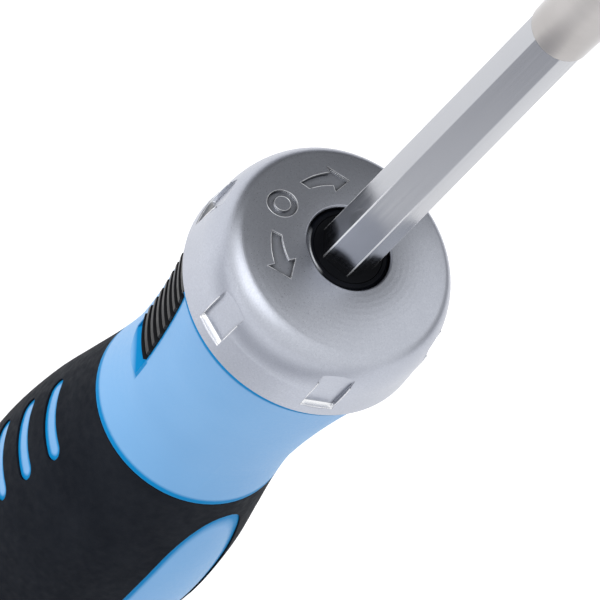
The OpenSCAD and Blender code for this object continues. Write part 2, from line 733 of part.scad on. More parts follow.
module detent_spring() {
    color(steel) at_ring() translate([detent_bottom + seam, 0, mid_z]) rotate([0, 90, 0])
        coil(detent_r - detent_spring_wire, detent_spring_wire / 2,
             detent_place - detent_r - detent_bottom - 2 * seam, 4, 5, 10);
}

// Spring plunger in the ring that pushes on a pawl's back
module pawl_plunger(dir) {
    nose = 1.6 * plunger_r;
    color(steel) at_ring() rotate([0, 0, dir]) translate([pawl_back_r + loose_gap, 0, mid_z])
        rotate([0, 90, 0]) difference() {
            intersection() {
                cylinder(r = plunger_r, h = plunger_l, $fn = 48);
                translate([0, 0, nose]) sphere(r = nose, $fn = 48);
            }
            translate([0, 0, plunger_r]) cylinder(r = plunger_r - plunger_wall, h = plunger_l, $fn = 32);
        }
}

module pawl_plunger_1() {
    pawl_plunger(pawl_dirs[0]);
}

module pawl_plunger_2() {
    pawl_plunger(pawl_dirs[1]);
}

module plunger_spring(dir) {
    start = pawl_back_r + loose_gap + plunger_r + seam;
    wire = 0.11 * plunger_r;
    color(steel) at_ring() rotate([0, 0, dir]) translate([start, 0, mid_z]) rotate([0, 90, 0])
        coil(plunger_r - plunger_wall - wire - seam, wire, plunger_seat_r - start - seam, 4, 5, 10);
}

module plunger_spring_1() {
    plunger_spring(pawl_dirs[0]);
}

module plunger_spring_2() {
    plunger_spring(pawl_dirs[1]);
}

// Double-ended rocker pawl: a hub on its pin, two arms with a tooth each, and a round back
module pawl_outline() {
    tip_place = gear_r - pawl_bite;
    root_place = pawl_inner_r + (pawl_back_r - pawl_inner_r) / 4;
    root_half = tip_half + (root_place - tip_place) * tan(tip_flank);
    difference() {
        union() {
            intersection() {
                difference() {
                    circle(r = pawl_back_r);
                    circle(r = pawl_inner_r);
                }
                wedge(pawl_half_angle, far_out);
            }
            translate([pawl_pin_place, 0]) circle(r = pawl_hub_r, $fn = 48);
            for (side = [-1, 1]) rotate([0, 0, side * tip_angle]) polygon([
                [tip_place, -tip_half], [root_place, -root_half],
                [root_place, root_half], [tip_place, tip_half]]);
        }
        translate([pawl_pin_place, 0]) circle(r = pawl_pin_r + seam, $fn = 48);
    }
}

module pawl(dir) {
    color(dark_steel) at_ring() rotate([0, 0, dir]) translate([0, 0, pawl_z])
        linear_extrude(pawl_h) pawl_outline();
}

module pawl_1() {
    pawl(pawl_dirs[0]);
}

module pawl_2() {
    pawl(pawl_dirs[1]);
}

// Ratchet gear with even teeth, so that it locks or drives both ways
module ratchet_gear() {
    root_r = gear_r - tooth_h;
    pitch = 360 / teeth;
    gap_share = 0.367;
    root_gap_share = 0.12;
    color(dark_steel) at_ring() translate([0, 0, gear_z]) difference() {
        linear_extrude(gear_h) polygon([for (i = [0:teeth - 1]) let (a = i * pitch)
            for (p = [[gear_r, gap_share - 0.5], [gear_r, 0.5 - gap_share],
                      [root_r, 0.5 - root_gap_share], [root_r, 0.5 + root_gap_share]])
            [p[0] * cos(a + p[1] * pitch), p[0] * sin(a + p[1] * pitch)]]);
        translate([0, 0, -cut]) cylinder(r = spindle_r + press_gap, h = gear_h + 2 * cut);
    }
}

// Black spindle with its hex socket, ball holes, shoulder and clip groove
module drive_spindle() {
    color(dark_steel) at_ring() difference() {
        union() {
            translate([0, 0, -spindle_tail]) cylinder(r = spindle_r, h = spindle_tail + gear_z + gear_h);
            translate([0, 0, gear_z]) cylinder(r = nose_r, h = nose_z - gear_z);
            translate([0, 0, shoulder_z]) cylinder(r = gear_r - tooth_h, h = shoulder_t);
        }
        hex_bar(socket_r, -spindle_tail - cut, spindle_tail + nose_z + 2 * cut);
        translate([0, 0, -ball_place]) rotate([0, 90, 0])
            cylinder(r = ball_r + seam, h = 2 * far_out, center = true, $fn = 48);
        tube(far_out, clip_groove_r, clip_z - seam, clip_t + 2 * seam);
    }
}

// Open clip behind the rear bushing
module spindle_clip() {
    color(steel) at_ring() difference() {
        tube(clip_r, clip_groove_r + press_gap, clip_z, clip_t);
        translate([0, -clip_gap_w / 2, clip_z - cut]) cube([far_out, clip_gap_w, clip_t + 2 * cut]);
    }
}

// Bright hex shaft with the groove that the lock balls hold
module hex_shaft() {
    color(silver) at_ring() difference() {
        intersection() {
            hex_bar(hex_r, -shaft_tail, shaft_tail + shaft_end);
            translate([0, 0, -shaft_tail]) cylinder(r1 = hex_r - bit_edge,
                r2 = hex_r - bit_edge + shaft_tail + shaft_end, h = shaft_tail + shaft_end);
        }
        translate([0, 0, -ball_place]) rotate_extrude() polygon([
            [lock_groove_r, -lock_groove_half], [lock_groove_r, lock_groove_half],
            [lock_groove_r + lock_groove_open, lock_groove_half + lock_groove_open],
            [lock_groove_r + lock_groove_open, -lock_groove_half - lock_groove_open]]);
    }
}

// Round magnetic bit holder with a conical rear end
module bit_holder() {
    top = holder_z + holder_l;
    color(silver) at_ring() difference() {
        rotate_extrude() polygon([
            [0, holder_z], [holder_rear_r - holder_rear_edge, holder_z],
            [holder_rear_r, holder_z + holder_rear_edge],
            [holder_r, holder_z + holder_cone_l], [holder_r, top - holder_edge],
            [holder_r - holder_edge, top], [0, top]]);
        hex_bar(socket_r, holder_z - cut, holder_l + 2 * cut);
        tube(holder_clip_place + holder_clip_wire + press_gap, 0,
            holder_clip_z - holder_clip_wire - press_gap, 2 * (holder_clip_wire + press_gap));
        translate([0, 0, top - mouth_chamfer])
            cylinder(r1 = hex_r, r2 = hex_r + mouth_chamfer + cut, h = mouth_chamfer + cut);
    }
}

module holder_magnet() {
    color(steel) at_ring() translate([0, 0, magnet_z]) cylinder(r = magnet_r, h = magnet_t);
}

module holder_clip() {
    color(steel) at_ring() open_ring(holder_clip_place, holder_clip_wire, holder_clip_z, 50);
}

// The tips of the bits, each standing on its neck
module cross_tip(l, r) {
    point_r = 0.35 * r;
    flute = 0.62 * r;
    difference() {
        cylinder(r1 = r, r2 = point_r, h = l, $fn = 32);
        for (a = [45:90:315]) rotate([0, 0, a]) translate([flute, 0, l / 5]) rotate([0, -12, 0])
            rotate([0, 0, -45]) cube([2 * r, 2 * r, 2 * l]);
    }
}

module blade_tip(l, r) {
    blade = 0.17 * r;
    intersection() {
        cylinder(r = r, h = l, $fn = 32);
        sideways(2 * r) polygon([[-r, 0], [r, 0], [blade, l], [-blade, l]]);
    }
}

module prism_tip(l, r, sides) {
    cylinder(r = r, h = l, $fn = sides);
}

module bit(kind) {
    hex_l = bit_l * bit_hex_share;
    neck_l = bit_l * bit_neck_share;
    tip_l = bit_l - hex_l - neck_l;
    color(steel) {
        intersection() {
            hex_bar(hex_r, 0, hex_l);
            cylinder(r1 = hex_r - bit_edge, r2 = hex_r - bit_edge + hex_l, h = hex_l);
            cylinder(r1 = hex_r - bit_edge + hex_l, r2 = hex_r - bit_edge, h = hex_l);
        }
        translate([0, 0, hex_l]) cylinder(r1 = tip_r, r2 = neck_r, h = neck_l);
        translate([0, 0, hex_l + neck_l]) {
            if (kind == 0) cross_tip(tip_l, neck_r);
            if (kind == 1) blade_tip(tip_l, neck_r);
            if (kind == 2) prism_tip(tip_l, 0.85 * neck_r, 4);
            if (kind == 3) prism_tip(tip_l, 0.8 * neck_r, 6);
            if (kind == 4) cross_tip(tip_l, 0.75 * neck_r);
        }
    }
}

module screwdriver_bit() {
    at_ring() translate([0, 0, bit_rest]) bit(0);
}

module lock_ball(side) {
    color(steel) at_ring() translate([side * ball_centre, 0, -ball_place]) sphere(r = ball_r, $fn = 48);
}

module lock_ball_1() {
    lock_ball(1);
}

module lock_ball_2() {
    lock_ball(-1);
}

// Outer outline of the slide: ridges that follow the handle's sloping surface
function ridge_points() = [for (i = [0:ridge_count - 1]) let (z = slide_front - i * ridge_pitch)
    for (p = [[0, 0], [ridge_land_share, 0],
              [ridge_land_share + ridge_flank_share, 1], [1 - ridge_flank_share, 1]])
    let (y = z - p[0] * ridge_pitch) [handle_radius(-y) + ridge_rise - p[1] * ridge_depth, y]];

// Black serrated thumb slide, with the fork that carries the release collar
module thumb_slide() {
    color(black) at_ring() rotate([0, 0, slide_dir]) {
        intersection() {
            rotate_extrude() polygon(concat([[0, slide_front]], ridge_points(),
                [[handle_radius(-slide_rear) + ridge_rise, slide_rear], [0, slide_rear]]));
            sideways(slide_w) polygon([
                [slide_floor, slide_front + cut], [far_out, slide_front + cut], [far_out, slide_rear - cut],
                [slide_floor + under_rise, slide_rear - cut], [slide_floor + under_rise, slide_rear],
                [slide_floor, under_front]]);
        }
        difference() {
            sideways(fork_w) polygon([
                [spindle_r, fork_front], [slide_floor, fork_front],
                [slide_floor, fork_front - fork_l], [spindle_r, fork_front - fork_l]]);
            translate([0, 0, fork_front - fork_l - cut])
                cylinder(r = fork_r + loose_gap, h = fork_l + 2 * cut);
        }
    }
}

// Collar round the spindle: its cone holds the balls in, or lets them out
module release_collar() {
    cone_start = -ball_place + (collar_bore_r - cone_r) / cone_ratio;
    groove_front = fork_front + window_gap;
    groove_rear = fork_front - fork_l - window_gap;
    color(steel) at_ring() rotate_extrude() polygon([
        [collar_bore_r, collar_rear], [collar_r, collar_rear],
        [collar_r, groove_rear], [fork_r, groove_rear],
        [fork_r, groove_front], [collar_r, groove_front], [collar_r, collar_front],
        [cone_radius(collar_front), collar_front], [collar_bore_r, cone_start]]);
}

// Coil spring that pushes the collar and the slide forwards
module release_spring() {
    seat = lock_chamber_rear + rear_bush_flange_t + seam;
    color(steel) at_ring() translate([0, 0, seat])
        coil((collar_bore_r + collar_r) / 2, spring_wire / 2, collar_rear - seam - seat, spring_turns);
}

// Cartridge with open pockets for the bits, pulled out of the handle's rear
module bit_cartridge() {
    core_l = cartridge_z + cartridge_l;
    color(black) difference() {
        union() {
            translate([0, 0, flange_z]) cylinder(r = flange_r, h = flange_t);
            translate([0, 0, flange_z]) cylinder(r = cartridge_r, h = core_l - flange_z);
        }
        tube(far_out, o_ring_place - o_ring_r - seam,
            ring_groove_z - o_ring_r - seam, 2 * (o_ring_r + seam));
        for (i = [0:bit_count - 1]) rotate([0, 0, i * 360 / bit_count])
            translate([bit_place, 0, bit_z - pocket_end_gap]) linear_extrude(bit_l + 2 * pocket_end_gap) {
                rotate([0, 0, 30]) circle(r = hex_r + loose_gap, $fn = 6);
                translate([0, -pocket_w / 2]) square([far_out, pocket_w]);
            }
        translate([0, 0, flange_z - cut])
            cylinder(r = screw_thread_r + press_gap, h = screw_thread_l + cut + seam);
    }
}

module cartridge_o_ring() {
    color(black) translate([0, 0, ring_groove_z])
        rotate_extrude() translate([o_ring_place, 0]) circle(r = o_ring_r, $fn = 24);
}

module stored_bit(i) {
    rotate([0, 0, i * 360 / bit_count]) translate([bit_place, 0, bit_z]) rotate([0, 0, 30]) bit(i);
}

module stored_bit_1() {
    stored_bit(0);
}

module stored_bit_2() {
    stored_bit(1);
}

module stored_bit_3() {
    stored_bit(2);
}

module stored_bit_4() {
    stored_bit(3);
}

module stored_bit_5() {
    stored_bit(4);
}

// Domed palm cap, hollow inside, that spins on the cap screw
module end_cap() {
    head_z = plug_t + seam;
    color(black) difference() {
        rotate_extrude() polygon(concat([[0, 0]],
            [for (i = [0:cap_steps]) let (a = 90 * i / cap_steps)
                [cap_flat_r + (cap_r - cap_flat_r) * sin(a) ^ (2 / cap_power),
                 (cap_h - cap_corner) * (1 - cos(a) ^ (2 / cap_power))]],
            [[cap_r - cap_corner / 2, cap_h], [0, cap_h]]));
        translate([0, 0, head_z + screw_head_t + cap_wall]) tube(cap_inside_r, cap_hub_r, 0, cap_h);
        translate([0, 0, -cut]) cylinder(r = screw_r + cap_turn_gap, h = cap_h + 2 * cut);
        translate([0, 0, -cut])
            cylinder(r = screw_head_r + part_gap, h = head_z + screw_head_t + seam + cut);
    }
}

// Shoulder screw that holds the cap to the cartridge
module cap_screw() {
    head_z = plug_t + seam;
    color(steel) difference() {
        union() {
            translate([0, 0, head_z]) cylinder(r = screw_head_r, h = screw_head_t);
            translate([0, 0, head_z]) cylinder(r = screw_r, h = flange_z - seam - head_z);
            translate([0, 0, flange_z - cut]) cylinder(r = screw_thread_r, h = screw_thread_l + cut);
        }
        translate([0, 0, head_z - cut]) cylinder(r = screw_head_r / 2, h = cut + screw_head_t / 2, $fn = 6);
    }
}

module cap_plug() {
    color(black) cylinder(r = screw_head_r + part_gap - press_gap, h = plug_t);
}

handle_core();
grip_sleeve();
ratchet_housing();
housing_cover();
cover_screws();
pawl_pins();
nose_bushing();
rear_bushing();
thrust_washer();
retaining_wire();
detent_ball();
detent_spring();
selector_ring();
pawl_plunger_1();
pawl_plunger_2();
plunger_spring_1();
plunger_spring_2();
pawl_1();
pawl_2();
drive_spindle();
ratchet_gear();
spindle_clip();
hex_shaft();
bit_holder();
holder_magnet();
holder_clip();
screwdriver_bit();
lock_ball_1();
lock_ball_2();
thumb_slide();
release_collar();
release_spring();
bit_cartridge();
cartridge_o_ring();
stored_bit_1();
stored_bit_2();
stored_bit_3();
stored_bit_4();
stored_bit_5();
end_cap();
cap_screw();
cap_plug();
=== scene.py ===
import math

import bpy
from mathutils import Matrix, Vector


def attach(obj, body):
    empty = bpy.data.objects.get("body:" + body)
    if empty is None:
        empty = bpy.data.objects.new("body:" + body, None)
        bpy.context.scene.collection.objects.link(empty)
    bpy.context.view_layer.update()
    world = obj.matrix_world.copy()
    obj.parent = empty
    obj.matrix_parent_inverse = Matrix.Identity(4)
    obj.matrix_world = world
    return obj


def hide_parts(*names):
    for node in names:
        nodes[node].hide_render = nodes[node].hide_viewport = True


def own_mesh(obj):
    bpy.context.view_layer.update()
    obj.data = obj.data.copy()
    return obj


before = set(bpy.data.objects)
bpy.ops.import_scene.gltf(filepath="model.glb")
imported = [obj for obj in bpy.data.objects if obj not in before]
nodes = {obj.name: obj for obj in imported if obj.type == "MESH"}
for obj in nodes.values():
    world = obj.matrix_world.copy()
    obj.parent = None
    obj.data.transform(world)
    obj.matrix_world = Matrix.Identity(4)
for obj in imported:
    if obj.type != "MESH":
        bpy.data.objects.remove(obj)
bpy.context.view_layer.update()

for thing in bpy.context.selected_objects:
    thing.select_set(False)
bpy.context.view_layer.objects.active = None

# Camera: it looks down on the ring from the shaft's side, 36 degrees off the tool's axis,
# from 1.5 m away through a long lens.
RING_Z = 0.118
VIEW_TILT = math.radians(35.84)
VIEW_TURN = math.radians(45.56)
VIEW_SIDE = math.radians(-36)
CAMERA_DISTANCE = 1.5
VIEW_WIDTH = 0.07134
SENSOR_WIDTH = 36
CLIP_NEAR, CLIP_FAR = 0.05, 20
SHIFT_LEFT, SHIFT_DOWN = 0.000448, 0.000653

upwards = Vector((0, 0, 1))
near = Vector((math.cos(VIEW_SIDE), math.sin(VIEW_SIDE), 0))
aside = upwards.cross(near)
to_camera = upwards * math.cos(VIEW_TILT) + near * math.sin(VIEW_TILT)
across = upwards * math.sin(VIEW_TILT) - near * math.cos(VIEW_TILT)
view_right = across * math.cos(VIEW_TURN) + aside * math.sin(VIEW_TURN)
view_up = across * math.sin(VIEW_TURN) - aside * math.cos(VIEW_TURN)
ring_middle = Vector((0, 0, RING_Z))
camera_place = (ring_middle + to_camera * CAMERA_DISTANCE
                - view_right * SHIFT_LEFT - view_up * SHIFT_DOWN)

bpy.ops.object.camera_add()
camera = bpy.context.object
camera.data.sensor_width = SENSOR_WIDTH
camera.data.lens = SENSOR_WIDTH * CAMERA_DISTANCE / VIEW_WIDTH
camera.data.clip_start, camera.data.clip_end = CLIP_NEAR, CLIP_FAR
camera_turn = Matrix((view_right, view_up, to_camera)).transposed().to_4x4()
camera.matrix_world = Matrix.Translation(camera_place) @ camera_turn
bpy.context.scene.camera = camera

# Floor: a wide sheet of white paper that the tool stands on. In the polished parts it mirrors
# grey in a band on the camera's side and at the far end, as if things stood there outside
# the picture. Each band is given by the places where it begins and where it is full.
FLOOR_SIZE = 12
PAPER_ROUGHNESS = 0.9
GREY_NEAR, GREY_END, GREY_FAR = (0.085, 0.15), (0.3, 0.2), (-0.25, -0.5)
SEEN_LIFT, MIRROR_LIFT = 0.45, 0.34
FLOOR_COLOUR = (0.86, 0.86, 0.87, 1)
TABLE_COLOUR = (0.36, 0.365, 0.39, 1)


def new_material(name):
    """A node material with its shader, and the tree that it stands in."""
    made = bpy.data.materials.new(name)
    made.use_nodes = True
    tree = made.node_tree
    return made, tree, tree.nodes["Principled BSDF"]


def add_node(tree, kind, **values):
    """A node of a kind, with its settings, or a socket's value where a name is a socket's."""
    node = tree.nodes.new("ShaderNode" + kind)
    for name, value in values.items():
        if hasattr(node, name):
            setattr(node, name, value)
        else:
            node.inputs[name.replace("_", " ")].default_value = value
    return node


def join(tree, start, end):
    tree.links.new(start, end)


def feed(tree, sockets, *values):
    """Gives sockets, in their order, plain values or other nodes' outputs."""
    for socket, value in zip(sockets, values):
        if isinstance(value, bpy.types.NodeSocket):
            join(tree, value, socket)
        else:
            socket.default_value = value


def remap(tree, value, low, high, to_low=0.0, to_high=1.0, kind="LINEAR"):
    """The value's stretch from low to high, spread over another."""
    node = add_node(tree, "MapRange", interpolation_type=kind, From_Min=low, From_Max=high,
                    To_Min=to_low, To_Max=to_high)
    join(tree, value, node.inputs["Value"])
    return node.outputs["Result"]


def calculate(tree, operation, *values):
    """One value out of one or more, by an operation that takes two at a time."""
    result, others = values[0], values[1:] or (0,)
    for other in others:
        node = add_node(tree, "Math", operation=operation)
        feed(tree, node.inputs, result, other)
        result = node.outputs["Value"]
    return result


def dot(tree, first, second):
    """How far one direction goes along another."""
    node = add_node(tree, "VectorMath", operation="DOT_PRODUCT")
    feed(tree, node.inputs, first, second)
    return node.outputs["Value"]


def blend_colours(tree, share, first, second):
    """Two colours, each plain or from a node, mixed by a share."""
    node = add_node(tree, "Mix", data_type="RGBA")
    sides = [socket for socket in node.inputs if socket.type == "RGBA"]
    feed(tree, [node.inputs["Factor"]] + sides, share, first, second)
    return [socket for socket in node.outputs if socket.type == "RGBA"][0]


bpy.ops.mesh.primitive_plane_add(size=FLOOR_SIZE, location=(0, 0, 0))
floor = bpy.context.object
floor.name = "floor"
paper, tree, shader = new_material("paper")
place = add_node(tree, "TexCoord")
forward = dot(tree, place.outputs["Object"], near)
rays = add_node(tree, "LightPath")
glossy = rays.outputs["Is Glossy Ray"]
near_band = calculate(tree, "MINIMUM", remap(tree, forward, *GREY_NEAR),
                      remap(tree, forward, *GREY_END))
grey = calculate(tree, "MAXIMUM", near_band, remap(tree, forward, *GREY_FAR))
tone = blend_colours(tree, calculate(tree, "MULTIPLY", grey, glossy), FLOOR_COLOUR, TABLE_COLOUR)
join(tree, tone, shader.inputs["Base Color"])
join(tree, tone, shader.inputs["Emission Color"])
shader.inputs["Roughness"].default_value = PAPER_ROUGHNESS
seen = calculate(tree, "MAXIMUM", rays.outputs["Is Camera Ray"],
                 rays.outputs["Is Transmission Ray"])
lift = calculate(tree, "MAXIMUM", calculate(tree, "MULTIPLY", seen, SEEN_LIFT),
                 calculate(tree, "MULTIPLY", glossy, MIRROR_LIFT))
join(tree, lift, shader.inputs["Emission Strength"])
floor.data.materials.append(paper)

# Studio: an even grey room. Its mirror image in the polished parts is white towards the
# camera and to the right, dark at the far left, with a bright soft panel at the near left.
# A pair says where a part of the room begins and where it is full.
ROOM_LEVEL = 0.62
MIRROR_DARK, MIRROR_WHITE = 0.27, 1.05
NEAR_SIDE, RIGHT_SIDE, FAR_SIDE, LOW_SIDE = (-0.12, 0.22), (-0.03, 0.3), (-0.2, -0.6), (0.45, 0.05)
LOW_WALL = 0.45
PANEL_WAY = (near * 0.62 - aside * 0.52 + upwards * 0.58).normalized()
PANEL_LIGHT, PANEL_EDGE = 1.0, (0.8, 0.97)
KEY_WAY = near * 0.5 - aside * 0.8 + upwards * 0.9
FILL_WAY = near * 0.3 + aside * 1.0 + upwards * 0.4


def part_of_room(tree, way, ends, full=1.0):
    """How far the direction looked in lies in a part of the room, with a soft border."""
    direction = add_node(tree, "TexCoord")
    along = dot(tree, direction.outputs["Generated"], way)
    return remap(tree, along, *ends, 0, full, kind="SMOOTHSTEP")


def soft_lamp(name, way, distance, width, power):
    """A square soft lamp that faces the ring; the room's own panel is mirrored in its place."""
    bpy.ops.object.light_add(type="AREA")
    lamp = bpy.context.object
    lamp.name = name
    lamp.data.shape = "SQUARE"
    lamp.data.size = width
    lamp.data.energy = power
    direction = way.normalized()
    lamp.location = ring_middle + direction * distance
    lamp.rotation_mode = "QUATERNION"
    lamp.rotation_quaternion = direction.to_track_quat("Z", "Y")
    lamp.visible_glossy = False


world = bpy.data.worlds.new("studio")
bpy.context.scene.world = world
world.use_nodes = True
tree = world.node_tree
background = tree.nodes["Background"]
white_walls = calculate(tree, "MAXIMUM", part_of_room(tree, near, NEAR_SIDE),
                        part_of_room(tree, aside, RIGHT_SIDE))
walls = remap(tree, white_walls, 0, 1, MIRROR_DARK, MIRROR_WHITE)
far_low = calculate(tree, "MULTIPLY", part_of_room(tree, near, FAR_SIDE),
                    part_of_room(tree, upwards, LOW_SIDE))
walls = calculate(tree, "MULTIPLY", walls, remap(tree, far_low, 0, 1, 1, LOW_WALL))
panel = part_of_room(tree, PANEL_WAY, PANEL_EDGE, PANEL_LIGHT)
rays = add_node(tree, "LightPath")
glossy = rays.outputs["Is Glossy Ray"]
mirror_light = calculate(tree, "MULTIPLY", calculate(tree, "ADD", walls, panel), glossy)
room_light = calculate(tree, "MULTIPLY", calculate(tree, "SUBTRACT", 1, glossy), ROOM_LEVEL)
light = calculate(tree, "MAXIMUM", calculate(tree, "ADD", mirror_light, room_light),
                  rays.outputs["Is Camera Ray"], rays.outputs["Is Transmission Ray"])
join(tree, light, background.inputs["Strength"])
background.inputs["Color"].default_value = (1, 1, 1, 1)
bpy.context.scene.view_settings.view_transform = "Standard"
soft_lamp("key_lamp", KEY_WAY, distance=0.9, width=0.7, power=5.0)
soft_lamp("fill_lamp", FILL_WAY, distance=1.0, width=0.8, power=2.0)

# Handle core: injection-moulded blue plastic with a fine sparked texture. A painted shade,
# a darker and more saturated blue, lies along the soft sleeve's edges and windows, along the
# core's own edges, under the ring and in the slide's pocket. A pair says where a shade begins
# and where it is full.
CORE_BLUE = (0.168, 0.408, 0.74, 1)
CORE_BLUE_PALE = (0.195, 0.445, 0.78, 1)
CORE_BLUE_SHADE = (0.0, 0.235, 0.56, 1)
CORE_CLOUD, CORE_CLOUD_SPREAD = (55, 2), (0.35, 0.65)
CORE_GRAIN, CORE_GRAIN_SPREAD, CORE_ROUGHNESS = (2600, 2), (0.3, 0.7), (0.36, 0.46)
CORE_SPARKS, SPARK_DEPTH, SPARK_STRENGTH, CORE_EDGE = (9000, 2), 0.000012, 0.5, 0.00012
CORE_SPECULAR, SHADE_SPECULAR = 0.36, 0.06
EDGE_SHADE_W, EDGE_LIKENESS = 0.0008, (0.985, 0.9)
SLEEVE_FRONT_Z = RING_Z - 0.0328
SLEEVE_SHADE = (SLEEVE_FRONT_Z + 0.0011, SLEEVE_FRONT_Z + 0.0006)
SLEEVE_SHADE_END = (SLEEVE_FRONT_Z - 0.0002, SLEEVE_FRONT_Z - 0.0001)
UNDER_SLEEVE_Z = SLEEVE_FRONT_Z - 0.001
POCKET_SIDE = (0.0037, 0.0036)
POCKET_TOP = (RING_Z - 0.0184, RING_Z - 0.0186)
POCKET_LOW = (RING_Z - 0.0232, RING_Z - 0.0224)
PANEL_TURN, PANEL_POWER, PANEL_SHADE = math.radians(30), 2.3, (0.82, 0.97)
PANEL_HALF_W, PANEL_HALF_L, PANEL_MIDDLE_Z = 0.0062, 0.0298, RING_Z - 0.0669
SLOT_HALF_L, SLOT_FIRST_Z, SLOT_PITCH = 0.0041, RING_Z - 0.0434, 0.0064
SLOT_SHADE = (0.0005, 0.00088)
RIM_SHADE = (RING_Z - 0.0019, RING_Z - 0.001425)


def coordinates(tree):
    """A point's place on the piece: x, y and z."""
    place, split = add_node(tree, "TexCoord"), add_node(tree, "SeparateXYZ")
    join(tree, place.outputs["Object"], split.inputs["Vector"])
    return split.outputs


def pattern(tree, scale, detail=3.0, rough=0.5, stretch=(1, 1, 1)):
    """A noise pattern fixed to the piece; its scale is in waves per metre."""
    place = add_node(tree, "TexCoord")
    sized = add_node(tree, "Mapping", Scale=stretch)
    noise = add_node(tree, "TexNoise", Scale=scale, Detail=detail, Roughness=rough)
    join(tree, place.outputs["Object"], sized.inputs["Vector"])
    join(tree, sized.outputs["Vector"], noise.inputs["Vector"])
    return noise.outputs["Fac"]


def roughen(tree, shader, height, depth, strength, edge=0.0):
    """Bumps of a depth in metres; an edge radius rounds the sharp edges in the shading."""
    bump = add_node(tree, "Bump", Strength=strength, Distance=depth)
    join(tree, height, bump.inputs["Height"])
    if edge:
        soft = add_node(tree, "Bevel", samples=8, Radius=edge)
        join(tree, soft.outputs["Normal"], bump.inputs["Normal"])
    join(tree, bump.outputs["Normal"], shader.inputs["Normal"])


def dress(material, *names):
    """Gives CAD pieces a finish."""
    for name in names:
        piece = nodes[name]
        piece.data.materials.clear()
        piece.data.materials.append(material)


core_plastic, tree, shader = new_material("core_plastic")
x, y, z = coordinates(tree)
x_size = calculate(tree, "ABSOLUTE", x)
front = calculate(tree, "LESS_THAN", y, 0)
behind = calculate(tree, "SUBTRACT", 1, front)
by_sleeve = calculate(tree, "MINIMUM", remap(tree, z, *SLEEVE_SHADE),
                      remap(tree, z, *SLEEVE_SHADE_END))
in_pocket = calculate(tree, "MINIMUM", remap(tree, x_size, *POCKET_SIDE),
                      remap(tree, z, *POCKET_TOP), remap(tree, z, *POCKET_LOW), front)
rounded = add_node(tree, "Bevel", samples=16, Radius=EDGE_SHADE_W)
surface = add_node(tree, "NewGeometry")
likeness = dot(tree, rounded.outputs["Normal"], surface.outputs["Normal"])
by_edge = remap(tree, likeness, *EDGE_LIKENESS)
sideways = calculate(tree, "SUBTRACT", calculate(tree, "MULTIPLY", y, math.cos(PANEL_TURN)),
                     calculate(tree, "MULTIPLY", x_size, math.sin(PANEL_TURN)))
lengthways = calculate(tree, "SUBTRACT", z, PANEL_MIDDLE_Z)
reach = []
for distance, half in ((sideways, PANEL_HALF_W), (lengthways, PANEL_HALF_L)):
    share = calculate(tree, "DIVIDE", calculate(tree, "ABSOLUTE", distance), half)
    reach.append(calculate(tree, "POWER", share, PANEL_POWER))
panel_edge = remap(tree, calculate(tree, "ADD", *reach), *PANEL_SHADE)
past_end = calculate(tree, "MAXIMUM", calculate(tree, "SUBTRACT", x_size, SLOT_HALF_L), 0)
off_middle = calculate(tree, "PINGPONG", calculate(tree, "SUBTRACT", z, SLOT_FIRST_Z),
                       SLOT_PITCH / 2)
from_slot = calculate(tree, "SQRT", calculate(
    tree, "ADD", calculate(tree, "MULTIPLY", past_end, past_end),
    calculate(tree, "MULTIPLY", off_middle, off_middle)))
slot_edge = remap(tree, from_slot, *SLOT_SHADE)
in_window = calculate(tree, "ADD", calculate(tree, "MULTIPLY", front, slot_edge),
                      calculate(tree, "MULTIPLY", behind, panel_edge))
in_window = calculate(tree, "MULTIPLY", in_window,
                      calculate(tree, "LESS_THAN", z, UNDER_SLEEVE_Z))
# Painted shade: the blue turns darker and more saturated wherever any of these masks is full.
painted_shade = calculate(tree, "MAXIMUM", by_sleeve, in_pocket, by_edge, in_window,
                 remap(tree, z, *RIM_SHADE))
cloud = remap(tree, pattern(tree, *CORE_CLOUD), *CORE_CLOUD_SPREAD)
blue = blend_colours(tree, cloud, CORE_BLUE, CORE_BLUE_PALE)
join(tree, blend_colours(tree, painted_shade, blue, CORE_BLUE_SHADE), shader.inputs["Base Color"])
join(tree, remap(tree, pattern(tree, *CORE_GRAIN), *CORE_GRAIN_SPREAD, *CORE_ROUGHNESS),
     shader.inputs["Roughness"])
join(tree, remap(tree, painted_shade, 0, 1, CORE_SPECULAR, SHADE_SPECULAR),
     shader.inputs["Specular IOR Level"])
roughen(tree, shader, pattern(tree, *CORE_SPARKS), SPARK_DEPTH, SPARK_STRENGTH, CORE_EDGE)
dress(core_plastic, "handle_core")

# Grip sleeve: black thermoplastic rubber moulded over the core, matt and finely pebbled,
# with windows that leave the core's panels and slots bare.


def two_tone(name, colours, spots, spread, rough, bumps, depth, strength, edge=0.0,
             metallic=0.0, specular=0.5, rough_spots=None, rough_spread=None,
             bump_spread=None):
    """A material of two colours, in the spots of a noise pattern. Its roughness changes in
    the same spots, or in others, and its bumps have a pattern of their own."""
    made, tree, shader = new_material(name)
    share = remap(tree, pattern(tree, *spots), *spread)
    join(tree, blend_colours(tree, share, *colours), shader.inputs["Base Color"])
    share = remap(tree, pattern(tree, *(rough_spots or spots)), *(rough_spread or spread), *rough)
    join(tree, share, shader.inputs["Roughness"])
    height = pattern(tree, *bumps)
    if bump_spread:
        height = remap(tree, height, *bump_spread)
    roughen(tree, shader, height, depth, strength, edge)
    shader.inputs["Metallic"].default_value = metallic
    shader.inputs["Specular IOR Level"].default_value = specular
    return made


soft_rubber = two_tone(
    "soft_rubber", colours=((0.0065, 0.0085, 0.013, 1), (0.011, 0.0135, 0.019, 1)),
    spots=(140, 5, 0.6), spread=(0.42, 0.72), rough=(0.6, 0.78), rough_spots=(900, 3),
    rough_spread=(0.3, 0.7), bumps=(5200, 3, 0.6), depth=0.00004, strength=0.55, edge=0.0002,
    specular=0.07)
dress(soft_rubber, "grip_sleeve")

